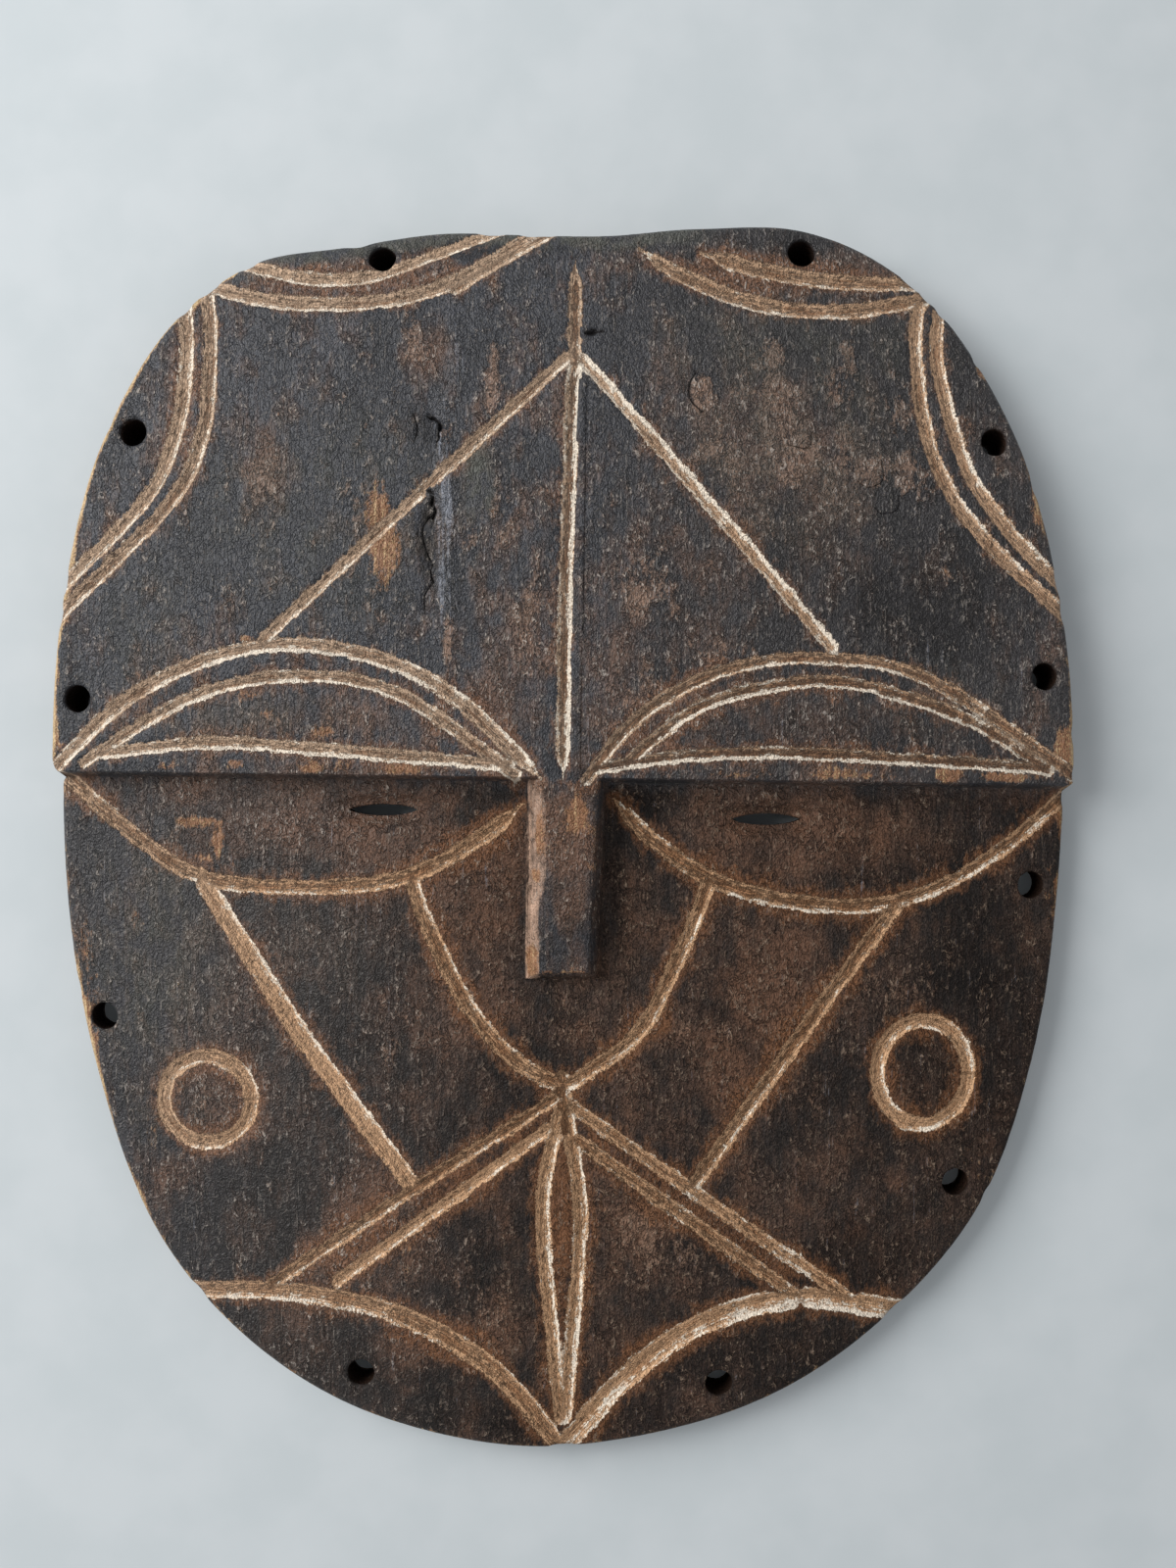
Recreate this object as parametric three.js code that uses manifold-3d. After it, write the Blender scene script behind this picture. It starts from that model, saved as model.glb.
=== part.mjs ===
// An oval face mask carved from one plank, lying on its back with the face up.
// Millimetres. +Z out of the face, +Y to the top of the head, +X to the viewer's right.
// The origin is the middle of the footprint, on the plane that the back rim lies on.

import * as THREE from 'three';
import { mergeVertices } from 'three/addons/utils/BufferGeometryUtils.js';
import Module from 'manifold-3d';

const manifold = await Module();
manifold.setup();

// The plank and its edges
const SIDES = 80; // facets round the outline
const ARRIS = 2.4; // width of the worn front edge
const ARRIS_DROP = 3; // how far the worn edge falls
const BACK_ARRIS = 1.5;
const FRONT_RINGS = [0.2, 0.4, 0.6, 0.8]; // shares of the way from the middle to the edge

// The hand-cut oval: flat shoulders, a shallow notch at the crown, a chin left of the middle.
const OVAL = [
  [-149.5, 31.5], [-146, 73], [-136, 114], [-115, 150.5], [-90, 168.5], [-60.5, 174.5], [-33, 178],
  [8.5, 175.5], [40, 178], [69, 178], [92, 169.5], [112, 153], [133.5, 117], [144.5, 79], [150, 33],
  [147.5, -23], [140.5, -67], [124.5, -111], [94.5, -145.5], [60, -168], [14.5, -180.5],
  [-20, -181.5], [-64.5, -169.5], [-98, -147], [-122, -117], [-138.5, -72.5], [-147.5, -25],
];

// Front surfaces: each half is a shallow dome that is highest at its own middle.
const FOREHEAD = { crown: 26, fallAcross: 7.5, fallAlong: 6, halfWidth: 150, halfHeight: 163, middleY: 17 };
const CHEEKS = { crown: 18, fallAcross: 7, fallAlong: 6, halfWidth: 150, halfHeight: 182, middleY: 0 };

// The straight lip where the forehead half stops and the recessed half begins
const BROW = { leftX: -147.5, leftY: 19.5, rightX: 150, rightY: 15.5, slope: 1.5 };
const RECESS_COLUMNS = 24;
const RECESS_ROWS = 14;

// The nose is a straight bar as high as the brow, with sloping flanks and a blunt, sloping tip.
const NOSE = {
  root: { y: 30, left: -6.5, right: 11.5, footLeft: -10.5, footRight: 14, top: 26.3 },
  tip: { y: -38.5, left: -6, right: 7.5, footLeft: -11, footRight: 11.5, top: 24.6 },
  footY: -41.5,
};

// The back: a flat rim that the mask lies on, and a shallow hollow for the wearer's face
const RIM_WIDTH = 26;
const HOLLOW_WALL = 9; // run of the hollow's sloping wall
const HOLLOW_WALL_TOP = 7;
const HOLLOW_TOP = 10;
const HOLLOW_RINGS = [0.72, 0.4];

// Eye slits, each at the bottom of a scooped bed
const SLIT = { length: 20, height: 3.2, bedLength: 38, bedHeight: 12, bedDepth: 2.6 };
const SLITS = [[-52.8, 8], [60.2, 5.2]];
const LENS_SIDES = 12;

// Drilled edge holes
const HOLE_RADIUS = 4;
const HOLE_SIDES = 16;
const HOLES = [
  [-52.5, 169.2], [70, 170.6], [-125.5, 118.5], [126.5, 115.5], [-141.5, 40.5], [141, 47],
  [-136.5, -53.5], [139.5, -14.5], [117, -103], [-60, -159.5], [46.5, -162.5],
];
const BELOW = -5; // cutters start below the back
const ABOVE = 60; // and end above the face

// Incised pattern: [way, points, width, depth]. "curve" is a smooth line through its points,
// "line" runs straight from point to point, and "ring" is an ellipse given as [centre, half sizes].
const FINE = 4.8;
const PLAIN = 5.4;
const BROAD = 6.6;
const SHALLOW = 1.2;
const DEEP = 1.9;
const CURVE_STEP = 13;
const LINE_STEP = 30;
const RING_STEPS = 20;
const RISE = 1.2; // how far a groove's cutter stands out of the surface

const PATTERN = {
  crown_line: ['line', [[4, 168], [4, 137.5]], PLAIN, SHALLOW],
  middle_line: ['curve', [[4, 137.5], [1.5, 79], [0.5, 16.8]], PLAIN, DEEP],
  roof_left: ['line', [[1.5, 138.6], [-86, 57.1]], FINE, DEEP],
  roof_right: ['line', [[6.3, 138.2], [78.3, 54.8]], FINE, DEEP],

  temple_top_left_long: ['curve', [[-104, 161.5], [-82.5, 156], [-53, 155.5], [-29.5, 162], [-6, 178]],
    PLAIN, DEEP],
  temple_top_left_short: ['curve', [[-94, 168], [-75, 163], [-60, 162.5], [-46, 166], [-18, 178.5]],
    FINE, DEEP],
  temple_top_left_scoop: ['curve', [[-31, 159.5], [-17.5, 168], [-4, 176]], PLAIN, SHALLOW],
  temple_left_long: ['curve', [[-104, 160], [-102.5, 144], [-104.5, 117], [-115, 96], [-149, 63]],
    PLAIN, DEEP],
  temple_left_short: ['curve', [[-110.5, 155], [-109.5, 140.5], [-112, 119], [-121.5, 98], [-149, 71]],
    PLAIN, DEEP],
  temple_top_right_long: ['curve', [[22.7, 171.1], [35.7, 162.9], [56.1, 155], [81.5, 153], [106.9, 157.5]],
    PLAIN, DEEP],
  temple_top_right_short: ['curve', [[40.6, 169.9], [56.6, 165.4], [78.5, 161.9], [105, 161.9]],
    PLAIN, SHALLOW],
  temple_right_long: ['curve', [[105, 157], [103.5, 141], [108, 111.8], [122.1, 88.2], [148.7, 63.6]],
    PLAIN, DEEP],
  temple_right_short: ['curve', [[110.5, 153], [110, 137.4], [118, 108.3], [131.6, 88.2], [148.7, 71.6]],
    PLAIN, DEEP],

  lid_left_outer: ['curve', [[-149.7, 18.7], [-121.3, 43.1], [-82, 55.6], [-40.2, 46.6],
    [-5.7, 17.3]], PLAIN, DEEP],
  lid_left_inner: ['curve', [[-139, 22], [-107, 40.5], [-77, 46.5], [-47, 41.5], [-13, 18]], FINE, DEEP],
  lid_left_base: ['curve', [[-134, 24.3], [-103.5, 27.3], [-73.5, 25.8], [-15, 20.8]], FINE, DEEP],
  lid_right_outer: ['curve', [[7.7, 17.3], [22.7, 34.8], [46.1, 47.7], [74, 51.7], [106.4, 45.7],
    [149.8, 18.2]],
    PLAIN, DEEP],
  lid_right_inner: ['curve', [[18.8, 21.2], [38.4, 36.8], [62.5, 43.8], [84.6, 44.3],
    [117.6, 34.3], [142.2, 19.3]],
    FINE, DEEP],
  lid_right_base: ['curve', [[9.9, 19.9], [35.5, 23.4], [63, 24.4], [95.5, 22.9], [142, 19.9]], FINE, DEEP],

  eye_left: ['curve', [[-148.7, 18.8], [-126.8, 0.3], [-106.6, -11.9], [-79, -14.9],
    [-47.9, -12.4], [-25.8, -1.8], [-11.3, 9.7]], PLAIN, DEEP],
  eye_right: ['curve', [[15.4, 10.9], [28.8, -2.6], [50.3, -15], [80.5, -20.5], [105.1, -17.5],
    [127.8, -5.9], [150.8, 12.6]], PLAIN, DEEP],

  cheek_left: ['line', [[-107, -11.5], [-76.5, -59], [-44, -103]], BROAD, DEEP],
  cheek_right: ['line', [[98, -20.9], [72, -56.4], [38.5, -103.3]], PLAIN, DEEP],
  muzzle: ['curve', [[-44.1, -11.4], [-39.6, -25.3], [-27.7, -48.8], [-15.2, -64.2],
    [-0.1, -72.4], [8.7, -68.3], [23.3, -56.7], [35.4, -33.2], [43.4, -13.1]], PLAIN, DEEP],
  lip_stem: ['line', [[0, -71], [1, -86]], BROAD, SHALLOW],

  band_left_upper: ['line', [[-2.2, -77.2], [-35.7, -98.7], [-86.2, -133.2]], FINE, DEEP],
  band_left_lower: ['line', [[-4, -85.9], [-66.5, -131.9]], FINE, DEEP],
  band_right_upper: ['line', [[3.5, -79.5], [34.5, -101.5], [85, -137]], FINE, DEEP],
  band_right_lower: ['line', [[4.6, -89.1], [70.6, -137.1]], FINE, DEEP],
  beard_leaf_left: ['curve', [[-0.5, -81], [-5, -102.5], [-5, -124.5], [0, -173]], PLAIN, DEEP],
  beard_leaf_right: ['curve', [[1.8, -82], [5.3, -106], [4.8, -126], [0.8, -173]], PLAIN, DEEP],
  chin_left: ['curve', [[-109, -135.5], [-79, -135.5], [-49, -141.5], [-27, -153], [-12.5, -166],
    [-0.5, -182]], BROAD, DEEP],
  chin_right: ['curve', [[0.1, -181.6], [17.6, -162.1], [40.2, -145], [70, -136.9], [100.1, -141.4]],
    BROAD, DEEP],

  ring_left: ['ring', [[-105, -78], [13.3, 12.8]], PLAIN, DEEP],
  ring_right: ['ring', [[107, -70], [13.7, 15.5]], PLAIN, DEEP],
};

const WOOD_BROWN = 0x3d3530;

// Surfaces

function dome(half, x, y) {
  const across = (x / half.halfWidth) ** 2;
  const along = ((y - half.middleY) / half.halfHeight) ** 2;
  return half.crown - half.fallAcross * across - half.fallAlong * along;
}

function browY(x) {
  const share = (x - BROW.leftX) / (BROW.rightX - BROW.leftX);
  return THREE.MathUtils.lerp(BROW.leftY, BROW.rightY, share);
}

function front(x, y) {
  return dome(y > browY(x) - BROW.slope ? FOREHEAD : CHEEKS, x, y);
}

// Closed bodies from rings of points

function body(positions, triangles) {
  const geometry = new THREE.BufferGeometry();
  geometry.setAttribute('position', new THREE.Float32BufferAttribute(positions.flat(), 3));
  geometry.setIndex(triangles.flat());
  return geometry;
}

// Joins equal rings into one closed body. A "ring" of one point closes an end as a cone;
// any other end is closed by a fan. A closed loft joins the last ring to the first.
function loft(rings, closed = false) {
  const count = rings[1].length;
  const positions = [];
  const starts = rings.map((ring) => {
    const start = positions.length;
    positions.push(...ring);
    return start;
  });
  const triangles = [];
  const steps = closed ? rings.length : rings.length - 1;
  for (let step = 0; step < steps; step += 1) {
    const next = (step + 1) % rings.length;
    const [a, b] = [starts[step], starts[next]];
    for (let i = 0; i < count; i += 1) {
      const j = (i + 1) % count;
      if (rings[step].length === 1) triangles.push([a, b + i, b + j]);
      else if (rings[next].length === 1) triangles.push([a + i, b, a + j]);
      else triangles.push([a + i, b + i, b + j], [a + i, b + j, a + j]);
    }
  }
  if (!closed) {
    for (let i = 1; i < count - 1; i += 1) {
      if (rings[0].length > 1) triangles.push([starts[0], starts[0] + i, starts[0] + i + 1]);
      const last = starts.at(-1);
      if (rings.at(-1).length > 1) triangles.push([last, last + i + 1, last + i]);
    }
  }
  return body(positions, triangles);
}

function signedVolume(positions, indices) {
  const [a, b, c] = [new THREE.Vector3(), new THREE.Vector3(), new THREE.Vector3()];
  let volume = 0;
  for (let i = 0; i < indices.length; i += 3) {
    a.fromArray(positions, indices[i] * 3);
    b.fromArray(positions, indices[i + 1] * 3);
    c.fromArray(positions, indices[i + 2] * 3);
    volume += a.dot(b.cross(c)) / 6;
  }
  return volume;
}

function solid(geometry) {
  const bare = geometry.clone();
  bare.deleteAttribute('normal');
  bare.deleteAttribute('uv');
  const merged = mergeVertices(bare, 1e-4);
  const positions = new Float32Array(merged.attributes.position.array);
  const indices = new Uint32Array(merged.index.array);
  if (signedVolume(positions, indices) < 0) indices.reverse();
  return new manifold.Manifold(new manifold.Mesh({
    numProp: 3,
    vertProperties: positions,
    triVerts: indices,
  }));
}

function geometryOf(made) {
  const mesh = made.getMesh();
  const geometry = new THREE.BufferGeometry();
  geometry.setAttribute('position', new THREE.BufferAttribute(mesh.vertProperties, 3));
  geometry.setIndex(new THREE.BufferAttribute(mesh.triVerts, 1));
  geometry.computeVertexNormals();
  return geometry;
}

// The plank

function outline() {
  const corners = OVAL.map(([x, y]) => new THREE.Vector3(x, y, 0));
  const path = new THREE.CatmullRomCurve3(corners, true, 'centripetal');
  const points = path.getSpacedPoints(SIDES).slice(0, SIDES);
  return points.map((p) => [p.x, p.y]).reverse();
}

function shrunk(plan, share) {
  return plan.map(([x, y]) => [x * share, y * share]);
}

function inset(plan, distance) {
  return plan.map(([x, y]) => {
    const keep = 1 - distance / Math.hypot(x, y);
    return [x * keep, y * keep];
  });
}

function plank() {
  const plan = outline();
  const onFront = (ring, drop = 0) => ring.map(([x, y]) => [x, y, dome(FOREHEAD, x, y) - drop]);
  const level = (ring, z) => ring.map(([x, y]) => [x, y, z]);
  const hollowEdge = inset(plan, RIM_WIDTH + HOLLOW_WALL);
  const hollowHeight = (share) => HOLLOW_TOP - (HOLLOW_TOP - HOLLOW_WALL_TOP) * share ** 2;
  return solid(loft([
    onFront([[0, 0]]),
    ...FRONT_RINGS.map((share) => onFront(shrunk(plan, share))),
    onFront(inset(plan, ARRIS * 2.5)),
    onFront(inset(plan, ARRIS), ARRIS_DROP * 0.15),
    onFront(inset(plan, ARRIS * 0.3), ARRIS_DROP * 0.4),
    onFront(plan, ARRIS_DROP),
    level(plan, BACK_ARRIS),
    level(inset(plan, BACK_ARRIS), 0),
    level(inset(plan, RIM_WIDTH), 0),
    level(hollowEdge, HOLLOW_WALL_TOP),
    ...HOLLOW_RINGS.map((share) => level(shrunk(hollowEdge, share), hollowHeight(share))),
    level([[0, 0]], HOLLOW_TOP),
  ]));
}

// What is cut away below the brow, all but the nose

function recess() {
  const reach = 10; // past the oval on every side
  const left = -FOREHEAD.halfWidth - reach;
  const right = FOREHEAD.halfWidth + reach;
  const low = -CHEEKS.halfHeight - reach;
  const rows = [];
  for (let row = 0; row <= RECESS_ROWS; row += 1) {
    const under = [];
    const over = [];
    for (let column = 0; column <= RECESS_COLUMNS; column += 1) {
      const x = THREE.MathUtils.lerp(left, right, column / RECESS_COLUMNS);
      const foot = THREE.MathUtils.lerp(browY(x) - BROW.slope, low, row / RECESS_ROWS);
      const lip = THREE.MathUtils.lerp(browY(x) + lipLean(x), low, row / RECESS_ROWS);
      under.push([x, foot, dome(CHEEKS, x, foot)]);
      over.unshift([x, lip, ABOVE]);
    }
    rows.push([...under, ...over]);
  }
  return solid(loft(rows)).subtract(nose());
}

// The recess's wall leans so that it meets the forehead surface on the brow line.
function lipLean(x) {
  const y = browY(x);
  const step = dome(FOREHEAD, x, y) - dome(CHEEKS, x, y);
  return (BROW.slope / step) * (ABOVE - dome(FOREHEAD, x, y));
}

function nose() {
  const bottom = HOLLOW_TOP;
  const lean = (edge, foot, top) => edge + ((foot - edge) * (top - bottom)) / (top - CHEEKS.crown);
  const section = ({ y, left, right, footLeft, footRight, top }, footY = y) => [
    [left, y, top],
    [lean(left, footLeft, top), lean(y, footY, top), bottom],
    [lean(right, footRight, top), lean(y, footY, top), bottom],
    [right, y, top],
  ];
  return solid(loft([section(NOSE.tip, NOSE.footY), section(NOSE.root)]));
}

// Grooves: a V-shaped cutter follows each line of the pattern and runs out at its ends

function samples(way, points) {
  if (way === 'ring') {
    const [[cx, cy], [rx, ry]] = points;
    return new THREE.EllipseCurve(cx, cy, rx, ry).getSpacedPoints(RING_STEPS).slice(0, RING_STEPS);
  }
  const corners = points.map(([x, y]) => new THREE.Vector2(x, y));
  if (way === 'curve') {
    const path = new THREE.SplineCurve(corners);
    return path.getSpacedPoints(Math.max(3, Math.round(path.getLength() / CURVE_STEP)));
  }
  const found = [corners[0]];
  for (let i = 1; i < corners.length; i += 1) {
    const stretch = new THREE.LineCurve(corners[i - 1], corners[i]);
    found.push(...stretch.getSpacedPoints(Math.ceil(stretch.getLength() / LINE_STEP)).slice(1));
  }
  return found;
}

function groove([way, points, width, depth]) {
  const closed = way === 'ring';
  const path = samples(way, points);
  const last = path.length - 1;
  const spread = (width / 2) * ((depth + RISE) / depth);
  const rings = path.map((p, i) => {
    const before = path[closed ? (i + last) % path.length : Math.max(i - 1, 0)];
    const after = path[closed ? (i + 1) % path.length : Math.min(i + 1, last)];
    const along = after.clone().sub(before).normalize();
    const z = front(p.x, p.y);
    return [
      [p.x - along.y * spread, p.y + along.x * spread, z + RISE],
      [p.x + along.y * spread, p.y - along.x * spread, z + RISE],
      [p.x, p.y, z - depth],
    ];
  });
  return solid(loft(rings, closed));
}

// Through openings

function hole([x, y]) {
  const drill = new THREE.CylinderGeometry(HOLE_RADIUS, HOLE_RADIUS, ABOVE - BELOW, HOLE_SIDES);
  drill.rotateX(Math.PI / 2);
  drill.translate(x, y, (ABOVE + BELOW) / 2);
  return solid(drill);
}

function lens(x, y, z, length, height) {
  const ring = [];
  for (let i = 0; i < LENS_SIDES; i += 1) {
    const turn = (i / LENS_SIDES) * 2 * Math.PI;
    const rise = Math.sign(Math.sin(turn)) * Math.abs(Math.sin(turn)) ** 1.5;
    ring.push([x + (length / 2) * Math.cos(turn), y + (height / 2) * rise, z]);
  }
  return ring;
}

function slit([x, y]) {
  const surface = front(x, y);
  const floor = surface - SLIT.bedDepth;
  const widest = surface + SLIT.bedDepth; // the bed's cutter goes on as far above the surface
  const bed = loft([
    lens(x, y, floor, SLIT.length, SLIT.height),
    lens(x, y, surface, SLIT.bedLength, SLIT.bedHeight),
    lens(x, y, widest, SLIT.bedLength * 1.5, SLIT.bedHeight * 1.5),
  ]);
  const through = loft([
    lens(x, y, BELOW, SLIT.length, SLIT.height),
    lens(x, y, surface, SLIT.length, SLIT.height),
  ]);
  return solid(bed).add(solid(through));
}

function carve() {
  const cutters = [recess(), ...Object.values(PATTERN).map(groove), ...HOLES.map(hole), ...SLITS.map(slit)];
  return cutters.reduce((block, cutter) => block.subtract(cutter), plank());
}

const wood = new THREE.MeshStandardMaterial({ color: WOOD_BROWN, roughness: 0.62, metalness: 0 });
const mask = new THREE.Mesh(geometryOf(carve()), wood);
mask.name = 'mask';

// The plan is drawn about the nose; the origin is the middle of the footprint.
const middle = new THREE.Box3().setFromObject(mask).getCenter(new THREE.Vector3());
mask.position.set(-middle.x, -middle.y, 0);

const part = new THREE.Group();
part.add(mask);

export default part;
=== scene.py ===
from functools import reduce

import bmesh
import bpy
import numpy as np
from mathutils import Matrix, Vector
from mathutils.geometry import delaunay_2d_cdt


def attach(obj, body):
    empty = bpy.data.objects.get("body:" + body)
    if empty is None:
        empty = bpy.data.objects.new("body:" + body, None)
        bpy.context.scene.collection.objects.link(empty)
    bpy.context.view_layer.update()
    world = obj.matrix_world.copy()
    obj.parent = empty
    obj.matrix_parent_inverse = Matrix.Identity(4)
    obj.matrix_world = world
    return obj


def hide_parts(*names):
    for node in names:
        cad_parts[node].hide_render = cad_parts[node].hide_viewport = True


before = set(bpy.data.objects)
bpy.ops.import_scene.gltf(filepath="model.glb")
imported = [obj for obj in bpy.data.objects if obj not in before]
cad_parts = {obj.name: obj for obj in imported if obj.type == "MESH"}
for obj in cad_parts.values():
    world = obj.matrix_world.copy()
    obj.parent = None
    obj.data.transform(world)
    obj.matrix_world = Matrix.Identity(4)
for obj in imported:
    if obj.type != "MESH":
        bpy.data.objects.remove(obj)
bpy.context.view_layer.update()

# An oval wooden face mask lies on its back. The plan is drawn in millimetres about the nose,
# as the carved board was, and MM turns it into the frame's metres.

MM = 0.001
PER_METRE = 1000.0
SEED = 11

# The board

OVAL = [
    (-149.5, 31.5), (-146, 73), (-136, 114), (-115, 150.5), (-90, 168.5), (-60.5, 174.5), (-33, 178),
    (8.5, 175.5), (40, 178), (69, 178), (92, 169.5), (112, 153), (133.5, 117), (144.5, 79), (150, 33),
    (147.5, -23), (140.5, -67), (124.5, -111), (94.5, -145.5), (60, -168), (14.5, -180.5),
    (-20, -181.5), (-64.5, -169.5), (-98, -147), (-122, -117), (-138.5, -72.5), (-147.5, -25),
]
FOREHEAD = dict(crown=26, across=7.5, along=6, half_width=150, half_height=163, middle_y=17)
CHEEKS = dict(crown=18, across=7, along=6, half_width=150, half_height=182, middle_y=0)
BROW = dict(left=(-147.5, 19.5), right=(150, 15.5), slope=1.5)
NOSE = dict(
    root=dict(y=30, left=-6.5, right=11.5, foot_left=-10.5, foot_right=14, top=26.3),
    tip=dict(y=-38.5, left=-6, right=7.5, foot_left=-11, foot_right=11.5, top=24.6),
    foot_y=-41.5,
)
SLIT = dict(length=20, height=3.2, bed_length=38, bed_height=12, bed_depth=2.6)
SLITS = [(-52.8, 8), (60.2, 5.2)]
HOLE_RADIUS = 4
HOLES = [
    (-52.5, 169.2), (70, 170.6), (-125.5, 118.5), (126.5, 115.5), (-141.5, 40.5), (141, 47),
    (-136.5, -53.5), (139.5, -14.5), (117, -103), (-60, -159.5), (46.5, -162.5),
]
ARRIS_AT, ARRIS_DROP = (0, 0.72, 2.4, 6.0), (1.9, 0.9, 0.3, 0)
BACK_ARRIS = 1.5
RIM_WIDTH, HOLLOW_WALL, HOLLOW_WALL_TOP, HOLLOW_TOP = 26, 9, 7, 10

# The incised lines

FINE, PLAIN, BROAD = 4.8, 5.4, 6.6
SHALLOW, DEEP = 0.8, 1.1

# kind, points, width, depth, how much chalk is left in it and how pale its floor is
LINES = {
    "crown line": ("line", [(4, 168), (4, 137.5)], PLAIN, SHALLOW, 0.1, 0.3),
    "middle line": ("curve", [(4, 137.5), (1.5, 79), (0.5, 16.8)], PLAIN, DEEP, 0.9, 0.35),
    "roof left": ("line", [(1.5, 138.6), (-86, 57.1)], FINE, DEEP, 0.42, 0.75),
    "roof right": ("line", [(6.3, 138.2), (78.3, 54.8)], FINE, DEEP, 1, 0.9),
    "temple top left long": (
        "curve", [(-104, 161.5), (-82.5, 156), (-53, 155.5), (-29.5, 162), (-6, 178)], PLAIN, DEEP, 0.5, 0.8),
    "temple top left short": (
        "curve", [(-94, 168), (-75, 163), (-60, 162.5), (-46, 166), (-18, 178.5)], FINE, DEEP, 0.45, 0.95),
    "temple top left scoop": ("curve", [(-31, 159.5), (-17.5, 168), (-4, 176)], PLAIN, SHALLOW, 0.3, 0.6),
    "temple left long": (
        "curve", [(-104, 160), (-102.5, 144), (-104.5, 117), (-115, 96), (-149, 63)], PLAIN, DEEP, 0.4, 0.55),
    "temple left short": (
        "curve", [(-110.5, 155), (-109.5, 140.5), (-112, 119), (-121.5, 98), (-149, 71)],
        PLAIN, DEEP, 0.55, 0.8),
    "temple top right long": (
        "curve", [(22.7, 171.1), (35.7, 162.9), (56.1, 155), (81.5, 153), (106.9, 157.5)],
        PLAIN, DEEP, 0.4, 0.6),
    "temple top right short": (
        "curve", [(40.6, 169.9), (56.6, 165.4), (78.5, 161.9), (105, 161.9)], PLAIN, SHALLOW, 0.25, 0.6),
    "temple right long": (
        "curve", [(105, 157), (103.5, 141), (108, 111.8), (122.1, 88.2), (148.7, 63.6)],
        PLAIN, DEEP, 0.28, 0.7),
    "temple right short": (
        "curve", [(110.5, 153), (110, 137.4), (118, 108.3), (131.6, 88.2), (148.7, 71.6)],
        PLAIN, DEEP, 0.4, 0.8),
    "lid left outer": (
        "curve", [(-149.7, 18.7), (-121.3, 43.1), (-82, 55.6), (-40.2, 46.6), (-5.7, 17.3)],
        PLAIN, DEEP, 0.7, 0.7),
    "lid left inner": (
        "curve", [(-139, 22), (-107, 40.5), (-77, 46.5), (-47, 41.5), (-13, 18)], FINE, DEEP, 0.65, 0.65),
    "lid left base": (
        "curve", [(-134, 24.3), (-103.5, 27.3), (-73.5, 25.8), (-15, 20.8)], FINE, DEEP, 0.7, 0.7),
    "lid right outer": (
        "curve", [(7.7, 17.3), (22.7, 34.8), (46.1, 47.7), (74, 51.7), (106.4, 45.7), (149.8, 18.2)],
        FINE, DEEP, 0.5, 0.35),
    "lid right inner": (
        "curve", [(18.8, 21.2), (38.4, 36.8), (62.5, 43.8), (84.6, 44.3), (117.6, 34.3), (142.2, 19.3)],
        FINE, DEEP, 0.8, 0.2),
    "lid right base": (
        "curve", [(9.9, 19.9), (35.5, 23.4), (63, 24.4), (95.5, 22.9), (142, 19.9)], FINE, DEEP, 0.8, 0.1),
    "eye left": (
        "curve",
        [(-148.7, 18.8), (-126.8, 0.3), (-106.6, -11.9), (-79, -14.9), (-47.9, -12.4), (-25.8, -1.8),
         (-11.3, 9.7)],
        PLAIN, DEEP, 0.2, 0.5),
    "eye right": (
        "curve",
        [(15.4, 10.9), (28.8, -2.6), (50.3, -15), (80.5, -20.5), (105.1, -17.5), (127.8, -5.9),
         (150.8, 12.6)],
        PLAIN, DEEP, 0.4, 0.35),
    "cheek left": ("line", [(-107, -11.5), (-76.5, -59), (-44, -103)], BROAD, DEEP, 0.4, 1),
    "cheek right": ("line", [(98, -20.9), (72, -56.4), (38.5, -103.3)], PLAIN, DEEP, 0.25, 0.4),
    "muzzle": (
        "curve",
        [(-44.1, -11.4), (-39.6, -25.3), (-27.7, -48.8), (-15.2, -64.2), (-0.1, -72.4), (8.7, -68.3),
         (23.3, -56.7), (35.4, -33.2), (43.4, -13.1)],
        PLAIN, DEEP, 0.35, 0.5),
    "lip stem": ("line", [(0, -71), (1, -86)], BROAD, SHALLOW, 0.1, 0.1),
    "band left upper": ("line", [(-2.2, -77.2), (-35.7, -98.7), (-86.2, -133.2)], FINE, DEEP, 0.25, 0.35),
    "band left lower": ("line", [(-4, -85.9), (-66.5, -131.9)], FINE, DEEP, 0.4, 1),
    "band right upper": ("line", [(3.5, -79.5), (34.5, -101.5), (85, -137)], FINE, DEEP, 0.5, 0.6),
    "band right lower": ("line", [(4.6, -89.1), (70.6, -137.1)], FINE, DEEP, 0.35, 0.45),
    "leaf left": ("curve", [(-0.5, -81), (-5, -102.5), (-5, -124.5), (0, -173)], PLAIN, DEEP, 0.45, 0.75),
    "leaf right": ("curve", [(1.8, -82), (5.3, -106), (4.8, -126), (0.8, -173)], PLAIN, DEEP, 0.7, 0.75),
    "chin left": (
        "curve", [(-109, -135.5), (-79, -135.5), (-49, -141.5), (-27, -153), (-12.5, -166), (-0.5, -182)],
        BROAD, DEEP, 0.35, 0.65),
    "chin right": (
        "curve", [(0.1, -181.6), (17.6, -162.1), (40.2, -145), (70, -136.9), (100.1, -141.4)],
        7.8, DEEP, 0.85, 0.9),
    "ring left": ("ring", [(-105, -78), (13.3, 12.8)], PLAIN, DEEP, 0.25, 0.85),
    "ring right": ("ring", [(107, -70), (13.7, 15.5)], PLAIN, DEEP, 0.42, 0.95),
}


# Noise

def lattice(ix, iy, iz, seed):
    h = (ix.astype(np.int64) * 374761393 + iy.astype(np.int64) * 668265263
         + iz.astype(np.int64) * 2147483647 + seed * 1274126177)
    h = (h ^ (h >> 13)) * 1274126177
    h = h ^ (h >> 16)
    return (h & 0xFFFF) / 32767.5 - 1.0


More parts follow.
